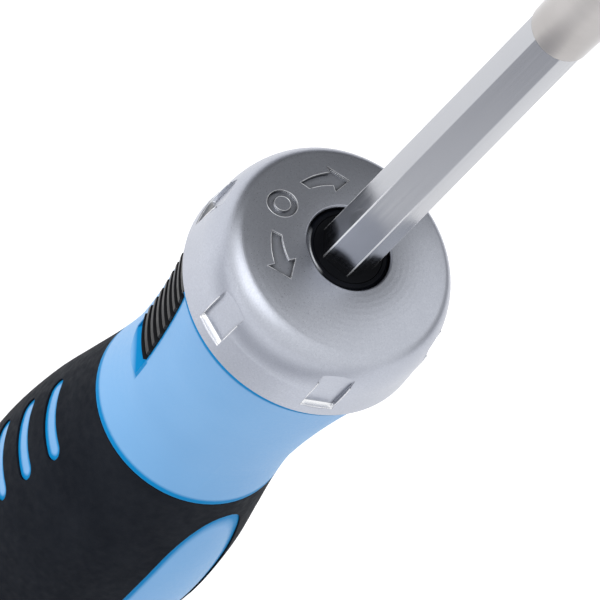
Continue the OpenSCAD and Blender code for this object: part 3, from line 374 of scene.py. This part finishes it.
# Ratchet housing: zinc pressure casting, its bores machined after casting, and its
# surface dull grey with flow marks from the die.
cast_zinc = two_tone(
    "cast_zinc", colours=((0.36, 0.37, 0.39, 1), (0.5, 0.51, 0.53, 1)),
    spots=(260, 6, 0.65, (1, 1, 0.4)), spread=(0.35, 0.7), rough=(0.5, 0.36), metallic=1,
    bumps=(3800, 3), depth=0.00003, strength=0.5, edge=0.0001)
dress(cast_zinc, "ratchet_housing")

# Cover plate, pins, wire, clip, balls and plungers: hardened steel, barrel-polished until
# it shines, and thinly oiled.
polished_steel = two_tone(
    "polished_steel", colours=((0.5, 0.5, 0.51, 1), (0.61, 0.6, 0.58, 1)),
    spots=(320, 4, 0.6), spread=(0.4, 0.62), rough=(0.2, 0.32), metallic=1,
    bumps=(6500, 2), depth=0.000012, strength=0.4, edge=0.00006)
dress(polished_steel, "housing_cover", "pawl_pins", "retaining_wire", "spindle_clip",
      "detent_ball", "lock_ball_1", "lock_ball_2", "pawl_plunger_1", "pawl_plunger_2")

# Screws, spindle, gear and pawls: heat-treated steel, blackened in an oxide bath. The
# black is thin, and wears to steel in fine specks.
black_oxide = two_tone(
    "black_oxide", colours=((0.0035, 0.004, 0.0055, 1), (0.02, 0.02, 0.023, 1)),
    spots=(2400, 6, 0.7), spread=(0.62, 0.7), rough=(0.34, 0.48), rough_spots=(700, 3),
    rough_spread=(0.3, 0.7), metallic=0.3, bumps=(7000, 2), depth=0.00001, strength=0.4,
    specular=0.1)
dress(black_oxide, "cover_screws", "drive_spindle", "ratchet_gear", "pawl_1", "pawl_2")

# Nose bushing: turned black acetal that fills the ring's hole, dull on its face. Round its
# edge, on one side only, a glint is painted in as a lighter, metallic band.
ACETAL_BLACK, ACETAL_PALE = (0.0022, 0.0028, 0.0048, 1), (0.004, 0.0046, 0.0072, 1)
ACETAL_TURNING, TURNING_SPREAD = (420, 3, 0.5, (1, 1, 6)), (0.3, 0.7)
ACETAL_GRAIN, ACETAL_DEPTH, ACETAL_STRENGTH, ACETAL_EDGE = (5000, 2), 0.000008, 0.4, 0.0001
GLINT_COLOUR = (0.3, 0.31, 0.33, 1)
RIM_ROUGHNESS, RIM_SPECULAR, RIM_METALLIC = (0.3, 0.16), (0.08, 1), (0, 0.8)
GLINT_EDGE_R = 0.00495
RIM_START = (GLINT_EDGE_R - 0.00012, GLINT_EDGE_R)
GLINT_TURN = math.radians(-38)
GLINT_SPREAD = (GLINT_EDGE_R * 0.82, GLINT_EDGE_R * 0.97)

acetal, tree, shader = new_material("acetal")
turning = remap(tree, pattern(tree, *ACETAL_TURNING), *TURNING_SPREAD)
black = blend_colours(tree, turning, ACETAL_BLACK, ACETAL_PALE)
x, y, z = coordinates(tree)
from_axis = calculate(tree, "SQRT", calculate(tree, "ADD", calculate(tree, "MULTIPLY", x, x),
                                              calculate(tree, "MULTIPLY", y, y)))
place = add_node(tree, "TexCoord")
glint_way = near * math.cos(GLINT_TURN) + aside * math.sin(GLINT_TURN)
towards = dot(tree, place.outputs["Object"], glint_way)
# Painted glint: a lighter, metallic band round the edge, on one side only.
painted_glint = calculate(tree, "MULTIPLY", remap(tree, from_axis, *RIM_START),
                remap(tree, towards, *GLINT_SPREAD))
join(tree, blend_colours(tree, painted_glint, black, GLINT_COLOUR), shader.inputs["Base Color"])
join(tree, remap(tree, painted_glint, 0, 1, *RIM_ROUGHNESS), shader.inputs["Roughness"])
join(tree, remap(tree, painted_glint, 0, 1, *RIM_SPECULAR), shader.inputs["Specular IOR Level"])
join(tree, remap(tree, painted_glint, 0, 1, *RIM_METALLIC), shader.inputs["Metallic"])
roughen(tree, shader, pattern(tree, *ACETAL_GRAIN), ACETAL_DEPTH, ACETAL_STRENGTH, ACETAL_EDGE)
dress(acetal, "nose_bushing")

# Rear bushing and thrust washer: sintered bronze, pressed from powder and soaked in oil,
# with open pores.
BRONZE_PORES, PORE_SPREAD = (4200, 4, 0.7), (0.36, 0.44)
sintered_bronze = two_tone(
    "sintered_bronze", colours=((0.12, 0.07, 0.025, 1), (0.5, 0.31, 0.12, 1)),
    spots=BRONZE_PORES, spread=PORE_SPREAD, rough=(0.6, 0.34), metallic=1,
    bumps=BRONZE_PORES, bump_spread=PORE_SPREAD, depth=0.00003, strength=0.5)
dress(sintered_bronze, "rear_bushing", "thrust_washer")

# Detent, plunger and return springs: bright drawn music wire, coiled cold. The release
# spring rests on the rear bushing, and its coils close as the collar is drawn back; here it
# is only given a mesh of its own.
spring_wire = two_tone(
    "spring_wire", colours=((0.42, 0.42, 0.43, 1), (0.58, 0.58, 0.57, 1)),
    spots=(1800, 3), spread=(0.35, 0.65), rough=(0.22, 0.34), metallic=1,
    bumps=(9000, 2), depth=0.00001, strength=0.4)
dress(spring_wire, "detent_spring", "plunger_spring_1", "plunger_spring_2", "release_spring")
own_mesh(bpy.data.objects["release_spring"])

# Selector ring: zinc casting with scooped grips, bead-blasted and satin chromed. Its face is
# turned before plating, so light gathers on it in fans round the hole. A painted shade darkens
# the inner corners of its marks and scoops, less on the skirt, and a painted highlight lightens
# the walls that face down and left in the view, and the scoops' rear steps.
CHROME_DARK, CHROME_PALE = (0.44, 0.463, 0.525, 1), (0.56, 0.585, 0.65, 1)
PAINTED_SHADE_COLOUR, PAINTED_HIGHLIGHT_COLOUR = (0.13, 0.135, 0.15, 1), (0.93, 0.94, 0.96, 1)
BLAST, BLAST_SPREAD, CHROME_ROUGHNESS = (5200, 4, 0.7), (0.25, 0.75), (0.25, 0.37)
BLAST_DEPTH, BLAST_STRENGTH, RING_EDGE = 0.00003, 0.45, 0.00016
CHROME_GRAIN, CHROME_GRAIN_SPREAD = (4200, 3, 0.8), (0.3, 0.7)
CHROME_CLOUD, CHROME_CLOUD_SPREAD, CLOUD_SHARE = (180, 3), (0.3, 0.7), (0.5, 1)
TURNED_LIGHT = 0.45
SHADE_REACH, SHADE_OPEN, SKIRT_SHADE = 0.0007, (0.97, 0.62), 0.4
HIGHLIGHT_WAY, HIGHLIGHT_FACING = -view_right * 0.86 - view_up * 0.5, (0.35, 0.6)
HIGHLIGHT_TILT, HIGHLIGHT_OPEN = (0.4, 0.6), (0.99, 0.9)
SHOULDER_LOW_Z = RING_Z + 0.0085

satin_chrome, tree, shader = new_material("satin_chrome")
cloud = remap(tree, pattern(tree, *CHROME_CLOUD), *CHROME_CLOUD_SPREAD, *CLOUD_SHARE)
grain = remap(tree, pattern(tree, *CHROME_GRAIN), *CHROME_GRAIN_SPREAD)
plating = blend_colours(tree, calculate(tree, "MULTIPLY", cloud, grain), CHROME_DARK, CHROME_PALE)
openness = add_node(tree, "AmbientOcclusion", samples=8, only_local=True, Distance=SHADE_REACH)
openness = openness.outputs["AO"]
x, y, z = coordinates(tree)
on_skirt = calculate(tree, "LESS_THAN", z, SHOULDER_LOW_Z)
on_face = calculate(tree, "GREATER_THAN", z, SHOULDER_LOW_Z)
surface, tilt = add_node(tree, "NewGeometry"), add_node(tree, "SeparateXYZ")
join(tree, surface.outputs["Normal"], tilt.inputs["Vector"])
# Painted highlight: walls that face down and left in the view, and the scoops' rear steps, are
# lightened.
facing = remap(tree, dot(tree, surface.outputs["Normal"], HIGHLIGHT_WAY), *HIGHLIGHT_FACING)
step = remap(tree, tilt.outputs["Z"], *HIGHLIGHT_TILT)
lit_walls = calculate(tree, "MAXIMUM", facing, calculate(tree, "MULTIPLY", on_skirt, step))
lit_walls = calculate(tree, "MULTIPLY", lit_walls, calculate(tree, "MAXIMUM", on_face, step))
# Painted shade: inner corners found by ambient occlusion are darkened, less on the skirt.
painted_corner_shade = calculate(tree, "MULTIPLY", remap(tree, openness, *SHADE_OPEN),
                  calculate(tree, "SUBTRACT", 1, lit_walls),
                  remap(tree, on_skirt, 0, 1, 1, SKIRT_SHADE))
painted_highlight = calculate(tree, "MULTIPLY", lit_walls, remap(tree, openness, *HIGHLIGHT_OPEN))
plating = blend_colours(tree, painted_corner_shade, plating, PAINTED_SHADE_COLOUR)
join(tree, blend_colours(tree, painted_highlight, plating, PAINTED_HIGHLIGHT_COLOUR), shader.inputs["Base Color"])
shader.inputs["Metallic"].default_value = 1
blast = pattern(tree, *BLAST)
join(tree, remap(tree, blast, *BLAST_SPREAD, *CHROME_ROUGHNESS), shader.inputs["Roughness"])
shader.inputs["Anisotropic"].default_value = TURNED_LIGHT
radial = add_node(tree, "Tangent", direction_type="RADIAL", axis="Z")
join(tree, radial.outputs["Tangent"], shader.inputs["Tangent"])
roughen(tree, shader, blast, BLAST_DEPTH, BLAST_STRENGTH, RING_EDGE)
dress(satin_chrome, "selector_ring")

# Mark lips: the fine burrs round the O and the two arrows, thrown up where the marks were
# stamped into the casting. Plating and wear leave them brighter than the blasted face.
LIP_R, LIP_SINK = 0.00006, 0.00002
FACE_TOP_Z, FACE_EDGE_Z = RING_Z + 0.0131, RING_Z + 0.01175
HOLE_R, FACE_R = 0.00543, 0.01305
MARK_TURN = math.radians(-114.8)
O_PLACE_R, O_OUTER_R, O_INNER_R, O_CORNERS = 0.0095, 0.00188, 0.00098, 48
ARROW_R, TAIL_W, ARROW_W, HEAD_W = 0.0092, 0.00125, 0.0019, 0.00365
ARROW_TAIL, TAIL_SLANT, ARROW_BASE, ARROW_TIP = 25.5, 3, 49.3, 64
ARROW_STEPS = 8


def face_point(r, degrees):
    """A point of the ring's domed face, at a radius and an angle from the O mark."""
    share = (r - HOLE_R) / (FACE_R - HOLE_R)
    turn = MARK_TURN + math.radians(degrees)
    height = FACE_TOP_Z - (FACE_TOP_Z - FACE_EDGE_Z) * share ** 2 - LIP_SINK
    return Vector((r * math.cos(turn), r * math.sin(turn), height))


def round_o(r):
    """The corners of a circle of the O mark."""
    corners = []
    for number in range(O_CORNERS):
        turn = 2 * math.pi * number / O_CORNERS
        x, y = O_PLACE_R + r * math.cos(turn), r * math.sin(turn)
        corners.append(face_point(math.hypot(x, y), math.degrees(math.atan2(y, x))))
    return corners


def arrow_corners(way):
    """The corners of an arrow, which lies to one way or the other of the O mark."""
    sides = ([], [])
    for number in range(ARROW_STEPS + 1):
        share = number / ARROW_STEPS
        half = (TAIL_W + (ARROW_W - TAIL_W) * share) / 2
        for points, outer in zip(sides, (1, -1)):
            tail = ARROW_TAIL - outer * TAIL_SLANT / 2
            angle = ARROW_BASE - (ARROW_BASE - tail) * (1 - share)
            points.append(face_point(ARROW_R + outer * half, way * angle))
    head = [face_point(ARROW_R + HEAD_W / 2, way * ARROW_BASE),
            face_point(ARROW_R, way * ARROW_TIP),
            face_point(ARROW_R - HEAD_W / 2, way * ARROW_BASE)]
    return sides[0] + head + sides[1][::-1]


def trace(name, corners):
    """A closed line through the corners: a circle, its points moved to them one by one."""
    bpy.ops.mesh.primitive_circle_add(vertices=len(corners), radius=O_OUTER_R,
                                      location=(0, 0, FACE_TOP_Z))
    line = bpy.context.object
    line.name = name
    bpy.ops.object.transform_apply(location=True, rotation=True, scale=True)
    for number, corner in enumerate(corners):
        bpy.ops.object.mode_set(mode="OBJECT")
        start = line.data.vertices[number].co.copy()
        for vertex in line.data.vertices:
            vertex.select = vertex.index == number
        for edge in line.data.edges:
            edge.select = False
        bpy.ops.object.mode_set(mode="EDIT")
        bpy.ops.mesh.select_mode(type="VERT")
        bpy.ops.transform.translate(value=Vector(corner) - start)
    bpy.ops.object.mode_set(mode="OBJECT")
    return line


def bead(line, thick):
    """Gives a line its thickness, as a round bead of metal."""
    bpy.ops.object.convert(target="CURVE")
    line.data.bevel_depth = thick
    line.data.bevel_resolution = 2
    bpy.ops.object.convert(target="MESH")
    bpy.ops.object.shade_smooth()
    return bpy.context.object


def set_on_ring(lip):
    """A lip is part of the ring: it turns with it."""
    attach(lip, "selector")


stamped_edge = two_tone(
    "stamped_edge", colours=((0.56, 0.57, 0.6, 1), (0.72, 0.73, 0.75, 1)),
    spots=(1400, 3), spread=(0.3, 0.7), rough=(0.26, 0.16), metallic=0.95,
    bumps=(8000, 2), depth=0.000006, strength=0.3)
for name, corners in (("lip_o_outer", round_o(O_OUTER_R)), ("lip_o_inner", round_o(O_INNER_R)),
                      ("lip_arrow_1", arrow_corners(1)), ("lip_arrow_2", arrow_corners(-1))):
    lip = bead(trace(name, corners), LIP_R)
    lip.data.materials.append(stamped_edge)
    set_on_ring(lip)

# Scoop lips: the worn edges of the six finger scoops, along both sides and the rear end of
# each. Their near-white finish is partly wear and partly a painted highlight. The first is
# modelled towards +X, and its copies are turned to their places.
SKIRT_R = 0.01563
SCOOP_LIP_R, SCOOP_COUNT, SCOOP_STEPS = 0.00007, 6, 6
SCOOP_HALF_W, SCOOP_REAR, SCOOP_SLOPE = 0.002075, 0.0018, 0.58
SCOOP_SIDE = ((0.00014, 0.0072), (0.00004, 0.0062), (0, 0.0053), (0, 0.0044), (0, 0.003))


def scoop_corners():
    """The corners of a scoop's two sides and rear end, on the ring's skirt."""
    rear = []
    for number in range(SCOOP_STEPS + 1):
        y = SCOOP_HALF_W * (2 * number / SCOOP_STEPS - 1)
        x = math.sqrt(SKIRT_R ** 2 - y ** 2)
        rear.append((x, y, RING_Z + SCOOP_REAR + (SKIRT_R - x) * SCOOP_SLOPE))
    x = rear[0][0]
    side = [(x - inward, RING_Z + height) for inward, height in SCOOP_SIDE]
    return ([(x, -SCOOP_HALF_W, z) for x, z in side] + rear
            + [(x, SCOOP_HALF_W, z) for x, z in side[::-1]])


def select_edges(piece, wanted):
    """Leaves the piece in edit mode, with just the wanted edges selected."""
    bpy.ops.object.mode_set(mode="OBJECT")
    for group in (piece.data.vertices, piece.data.edges, piece.data.polygons):
        for part in group:
            part.select = False
    for edge in piece.data.edges:
        ends = [piece.data.vertices[number].co for number in edge.vertices]
        edge.select = wanted(*ends)
    bpy.ops.object.mode_set(mode="EDIT")
    bpy.ops.mesh.select_mode(type="EDGE")


def hold(piece):
    """Leaves the piece selected and active, and nothing else."""
    for other in bpy.context.selected_objects:
        other.select_set(False)
    bpy.context.view_layer.objects.active = piece
    piece.select_set(True)


# Partly wear, partly a painted highlight: a near-white, half-metallic finish.
worn_edge_and_highlight = two_tone(
    "worn_edge_and_highlight", colours=((0.78, 0.79, 0.82, 1), (0.93, 0.94, 0.96, 1)),
    spots=(1100, 3), spread=(0.3, 0.7), rough=(0.34, 0.22), metallic=0.55,
    bumps=(8000, 2), depth=0.000006, strength=0.3)
line = trace("lip_scoop_1", scoop_corners())
select_edges(line, lambda a, b: abs(a.y - b.y) > SCOOP_HALF_W)
bpy.ops.mesh.delete(type="EDGE_FACE")
bpy.ops.object.mode_set(mode="OBJECT")
scoop_lips = [bead(line, SCOOP_LIP_R)]
scoop_lips[0].data.materials.append(worn_edge_and_highlight)
for number in range(2, SCOOP_COUNT + 1):
    hold(scoop_lips[0])
    bpy.ops.object.duplicate(linked=False)
    bpy.context.object.name = "lip_scoop_%d" % number
    scoop_lips.append(bpy.context.object)
for number, lip in enumerate(scoop_lips):
    hold(lip)
    lip.rotation_euler = (0, 0, MARK_TURN + number * 2 * math.pi / SCOOP_COUNT)
    bpy.ops.object.transform_apply(location=True, rotation=True, scale=True)
    set_on_ring(lip)

# Hex shaft: 1/4 inch drawn bar, its long edges left a little round by the die, turned at
# the rear for the lock balls, then chrome plated over the fine lengthwise drawing lines.
# A painted highlight makes the rounded edges near white just above the ring, broken by nicks.
SHAFT_FLATS, HEX_SIDES = 0.00643, 6
SHAFT_CORNER_R = SHAFT_FLATS / 2 / math.cos(math.pi / HEX_SIDES)
SHAFT_LOW_Z, SHAFT_TOP_Z = RING_Z - 0.031, RING_Z + 0.086
DRAWN_EDGE, SHAFT_CHAMFER, REAR_REACH = 0.00013, 0.0004, 0.00006
GROOVE_Z, GROOVE_R, GROOVE_HALF, GROOVE_OUT = RING_Z - 0.0146, 0.003, 0.0009, 0.00156
GROOVE_SIDES = 72
MERGE_DISTANCE = 0.000001
SMOOTH_BELOW = math.radians(25)
DRAWN_LINES = (2600, 4, 0.6, (1, 1, 0.012))
BRIGHT_FROM, BRIGHT_TO = (RING_Z + 0.0118, RING_Z + 0.0165), (RING_Z + 0.036, RING_Z + 0.022)
EDGE_GREY, EDGE_BRIGHT = (0.46, 0.47, 0.5, 1), (0.93, 0.94, 0.97, 1)
EDGE_METALLIC, EDGE_ROUGHNESS = (1, 0.25), (0.2, 0.35)
NICKS, NICK_SPREAD, NICK_SHARE = (1800, 4, 0.6, (1, 1, 0.2)), (0.35, 0.65), (0.7, 1)
NICK_DEPTH, NICK_STRENGTH = 0.000004, 0.3


def lathe(sides):
    """Turns the outline in edit mode once round the axis, and closes the surface."""
    bpy.ops.mesh.select_all(action="SELECT")
    bpy.ops.mesh.spin(steps=sides, angle=2 * math.pi, center=(0, 0, 0), axis=(0, 0, 1))
    bpy.ops.mesh.select_all(action="SELECT")
    bpy.ops.mesh.remove_doubles(threshold=MERGE_DISTANCE)
    bpy.ops.mesh.normals_make_consistent(inside=False)
    bpy.ops.object.mode_set(mode="OBJECT")


def cut_away(piece, tool):
    """Cuts the tool's shape out of the piece, and clears the tool away."""
    hold(piece)
    bpy.ops.object.modifier_add(type="BOOLEAN")
    piece.modifiers[-1].operation = "DIFFERENCE"
    piece.modifiers[-1].object = tool
    bpy.ops.object.modifier_apply(modifier=piece.modifiers[-1].name)
    hold(tool)
    bpy.ops.object.delete()


drawn_chrome = two_tone(
    "drawn_chrome", colours=((0.43, 0.44, 0.475, 1), (0.47, 0.48, 0.505, 1)),
    spots=(60, 3, 0.5, (1, 1, 0.3)), spread=(0.35, 0.65), rough=(0.13, 0.24),
    rough_spots=DRAWN_LINES, rough_spread=(0.3, 0.7), metallic=1,
    bumps=DRAWN_LINES, depth=0.000006, strength=0.5)
edge_with_painted_highlight, tree, shader = new_material("edge_with_painted_highlight")
x, y, z = coordinates(tree)
nicks = remap(tree, pattern(tree, *NICKS), *NICK_SPREAD, *NICK_SHARE)
# Painted highlight: near-white edges in a band just above the ring.
bright = calculate(tree, "MINIMUM", remap(tree, z, *BRIGHT_FROM), remap(tree, z, *BRIGHT_TO))
bright = calculate(tree, "MULTIPLY", bright, nicks)
join(tree, blend_colours(tree, bright, EDGE_GREY, EDGE_BRIGHT), shader.inputs["Base Color"])
join(tree, remap(tree, bright, 0, 1, *EDGE_METALLIC), shader.inputs["Metallic"])
join(tree, remap(tree, bright, 0, 1, *EDGE_ROUGHNESS), shader.inputs["Roughness"])
roughen(tree, shader, nicks, NICK_DEPTH, NICK_STRENGTH)
bpy.ops.mesh.primitive_cylinder_add(
    vertices=HEX_SIDES, radius=SHAFT_CORNER_R, depth=SHAFT_TOP_Z - SHAFT_LOW_Z,
    location=(0, 0, (SHAFT_LOW_Z + SHAFT_TOP_Z) / 2), rotation=(0, 0, math.pi / HEX_SIDES))
shaft = bpy.context.object
shaft.name = "drawn_hex_shaft"
shaft.data.materials.append(drawn_chrome)
shaft.data.materials.append(edge_with_painted_highlight)
bpy.ops.object.transform_apply(location=True, rotation=True, scale=True)
select_edges(shaft, lambda a, b: abs(a.z - b.z) > SHAFT_FLATS)
bpy.ops.mesh.bevel(offset=DRAWN_EDGE, segments=4, profile=0.5, affect="EDGES", material=1)
select_edges(shaft, lambda a, b: max(a.z, b.z) < SHAFT_LOW_Z + REAR_REACH)
bpy.ops.mesh.bevel(offset=SHAFT_CHAMFER, segments=1, affect="EDGES")
bpy.ops.object.mode_set(mode="OBJECT")
bpy.ops.mesh.primitive_plane_add(size=GROOVE_OUT, rotation=(math.pi / 2, 0, 0),
                                 location=(GROOVE_R + GROOVE_OUT / 2, 0, GROOVE_Z))
groove_tool = bpy.context.object
bpy.ops.object.transform_apply(location=True, rotation=True, scale=True)
bpy.ops.object.mode_set(mode="EDIT")
bpy.ops.transform.resize(value=(1, 1, 2 * GROOVE_HALF / GROOVE_OUT),
                         center_override=(GROOVE_R, 0, GROOVE_Z))
select_edges(groove_tool, lambda a, b: min(a.x, b.x) > GROOVE_R + GROOVE_OUT / 2)
bpy.ops.transform.resize(value=(1, 1, 1 + GROOVE_OUT / GROOVE_HALF),
                         center_override=(GROOVE_R, 0, GROOVE_Z))
bpy.ops.mesh.select_all(action="SELECT")
bpy.ops.mesh.delete(type="ONLY_FACE")
lathe(GROOVE_SIDES)
cut_away(shaft, groove_tool)
hold(shaft)
bpy.ops.object.shade_smooth_by_angle(angle=SMOOTH_BELOW)
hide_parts("hex_shaft")
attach(shaft, "spindle")

# Bit holder: turned stainless steel, pressed on the shaft, swelling to a round head with a
# hex bore and a groove for its clip, and polished over the lathe's fine rings. The clip, the
# release collar and the cap's screw are finished like it.
LATHE_RINGS = (2200, 3, 0.6, (0.02, 0.02, 1))
HOLDER_LOW_Z, HOLDER_TOP_Z = RING_Z + 0.072, RING_Z + 0.102
HOLDER_R, HOLDER_SIDES, ON_AXIS = 0.0059, 96, 0.00002
HOLDER_EDGE, EDGE_MIDDLE = 0.0004, 0.29
SWELL = ((0, 0.0039), (0.0015, 0.00392), (0.003, 0.00397), (0.005, 0.00408), (0.007, 0.00424),
         (0.009, 0.00444), (0.012, 0.00474), (0.015, 0.00508), (0.0175, 0.0054),
         (0.0195, 0.00566), (0.0212, 0.00583), (0.0226, HOLDER_R))
BORE_CORNER_R, MOUTH_CHAMFER = 0.003724, 0.0005
CLIP_GROOVE_R, CLIP_GROOVE_H, CLIP_Z = 0.00431, 0.00062, HOLDER_TOP_Z - 0.003

turned_steel = two_tone(
    "turned_steel", colours=((0.43, 0.41, 0.4, 1), (0.49, 0.47, 0.46, 1)),
    spots=(90, 3), spread=(0.35, 0.65), rough=(0.12, 0.22), rough_spots=LATHE_RINGS,
    rough_spread=(0.3, 0.7), metallic=1, bumps=LATHE_RINGS, depth=0.000008, strength=0.4,
    edge=0.0002)
dress(turned_steel, "bit_holder", "holder_clip", "cap_screw", "release_collar")
rounding = HOLDER_EDGE * EDGE_MIDDLE
outline = [(r, 0, HOLDER_LOW_Z + height) for height, r in SWELL]
outline += [(HOLDER_R, 0, HOLDER_TOP_Z - HOLDER_EDGE),
            (HOLDER_R - rounding, 0, HOLDER_TOP_Z - rounding),
            (HOLDER_R - HOLDER_EDGE, 0, HOLDER_TOP_Z)]
holder = trace("turned_bit_holder",
               [(0, 0, HOLDER_LOW_Z)] + outline + [(0, 0, HOLDER_TOP_Z)])
select_edges(holder, lambda a, b: max(a.x, b.x) < ON_AXIS)
bpy.ops.mesh.delete(type="EDGE")
lathe(HOLDER_SIDES)
bpy.ops.mesh.primitive_cylinder_add(
    vertices=HEX_SIDES, radius=BORE_CORNER_R, depth=2 * (HOLDER_TOP_Z - HOLDER_LOW_Z),
    location=(0, 0, HOLDER_TOP_Z - HOLDER_R), rotation=(0, 0, math.pi / HEX_SIDES))
cut_away(holder, bpy.context.object)
bpy.ops.mesh.primitive_cylinder_add(vertices=HOLDER_SIDES, radius=CLIP_GROOVE_R,
                                    depth=CLIP_GROOVE_H, location=(0, 0, CLIP_Z))
cut_away(holder, bpy.context.object)
bpy.ops.mesh.primitive_cone_add(
    vertices=HOLDER_SIDES, radius1=BORE_CORNER_R - MOUTH_CHAMFER,
    radius2=BORE_CORNER_R + MOUTH_CHAMFER, depth=2 * MOUTH_CHAMFER,
    location=(0, 0, HOLDER_TOP_Z))
cut_away(holder, bpy.context.object)
hold(holder)
bpy.ops.object.shade_smooth_by_angle(angle=SMOOTH_BELOW)
holder.data.materials.append(turned_steel)
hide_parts("bit_holder")
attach(holder, "spindle")

# Magnet: a disc of sintered rare-earth alloy at the bottom of the holder's bore, nickel
# plated so that it doesn't rust.
NICKEL_PLATE, PLATE_SPREAD = (1500, 4, 0.6), (0.35, 0.65)
nickel_plate = two_tone(
    "nickel_plate", colours=((0.5, 0.47, 0.42, 1), (0.62, 0.59, 0.54, 1)),
    spots=NICKEL_PLATE, spread=PLATE_SPREAD, rough=(0.14, 0.24), metallic=1,
    bumps=NICKEL_PLATE, bump_spread=PLATE_SPREAD, depth=0.00001, strength=0.4, edge=0.0002)
dress(nickel_plate, "holder_magnet")

# Bits: tool steel, hardened and shot-blasted to an even grey. One is in the holder, and
# five are stored in the handle's cartridge.
STORED_BITS = 5
SHOT = (4600, 4, 0.7)
blasted_steel = two_tone(
    "blasted_steel", colours=((0.2, 0.2, 0.205, 1), (0.34, 0.335, 0.33, 1)),
    spots=SHOT, spread=(0.3, 0.7), rough=(0.36, 0.5), rough_spread=(0.25, 0.75), metallic=1,
    bumps=SHOT, depth=0.00003, strength=0.6, edge=0.00012)
dress(blasted_steel, "screwdriver_bit",
      *("stored_bit_%d" % number for number in range(1, STORED_BITS + 1)))

# Thumb slide, cartridge, cap and plug: black glass-filled nylon, injection-moulded, with
# the fibres' faint streaks in its skin.
FIBRES = (1600, 4, 0.65, (1, 1, 0.35))
filled_nylon = two_tone(
    "filled_nylon", colours=((0.0024, 0.0028, 0.0038, 1), (0.0055, 0.006, 0.0075, 1)),
    spots=FIBRES, spread=(0.35, 0.7), rough=(0.3, 0.42), rough_spread=(0.3, 0.7),
    bumps=FIBRES, depth=0.00002, strength=0.5, edge=0.0002, specular=0.12)
dress(filled_nylon, "thumb_slide", "bit_cartridge", "end_cap", "cap_plug")

# O-ring: soft black nitrile rubber, moulded, with a faint bloom. It is stretched into the
# cartridge's groove, where its rub on the bore holds the cartridge in.
nitrile = two_tone(
    "nitrile", colours=((0.009, 0.009, 0.01, 1), (0.02, 0.02, 0.021, 1)),
    spots=(600, 4), spread=(0.35, 0.7), rough=(0.45, 0.65),
    bumps=(5000, 2), depth=0.00001, strength=0.4)
dress(nitrile, "cartridge_o_ring")
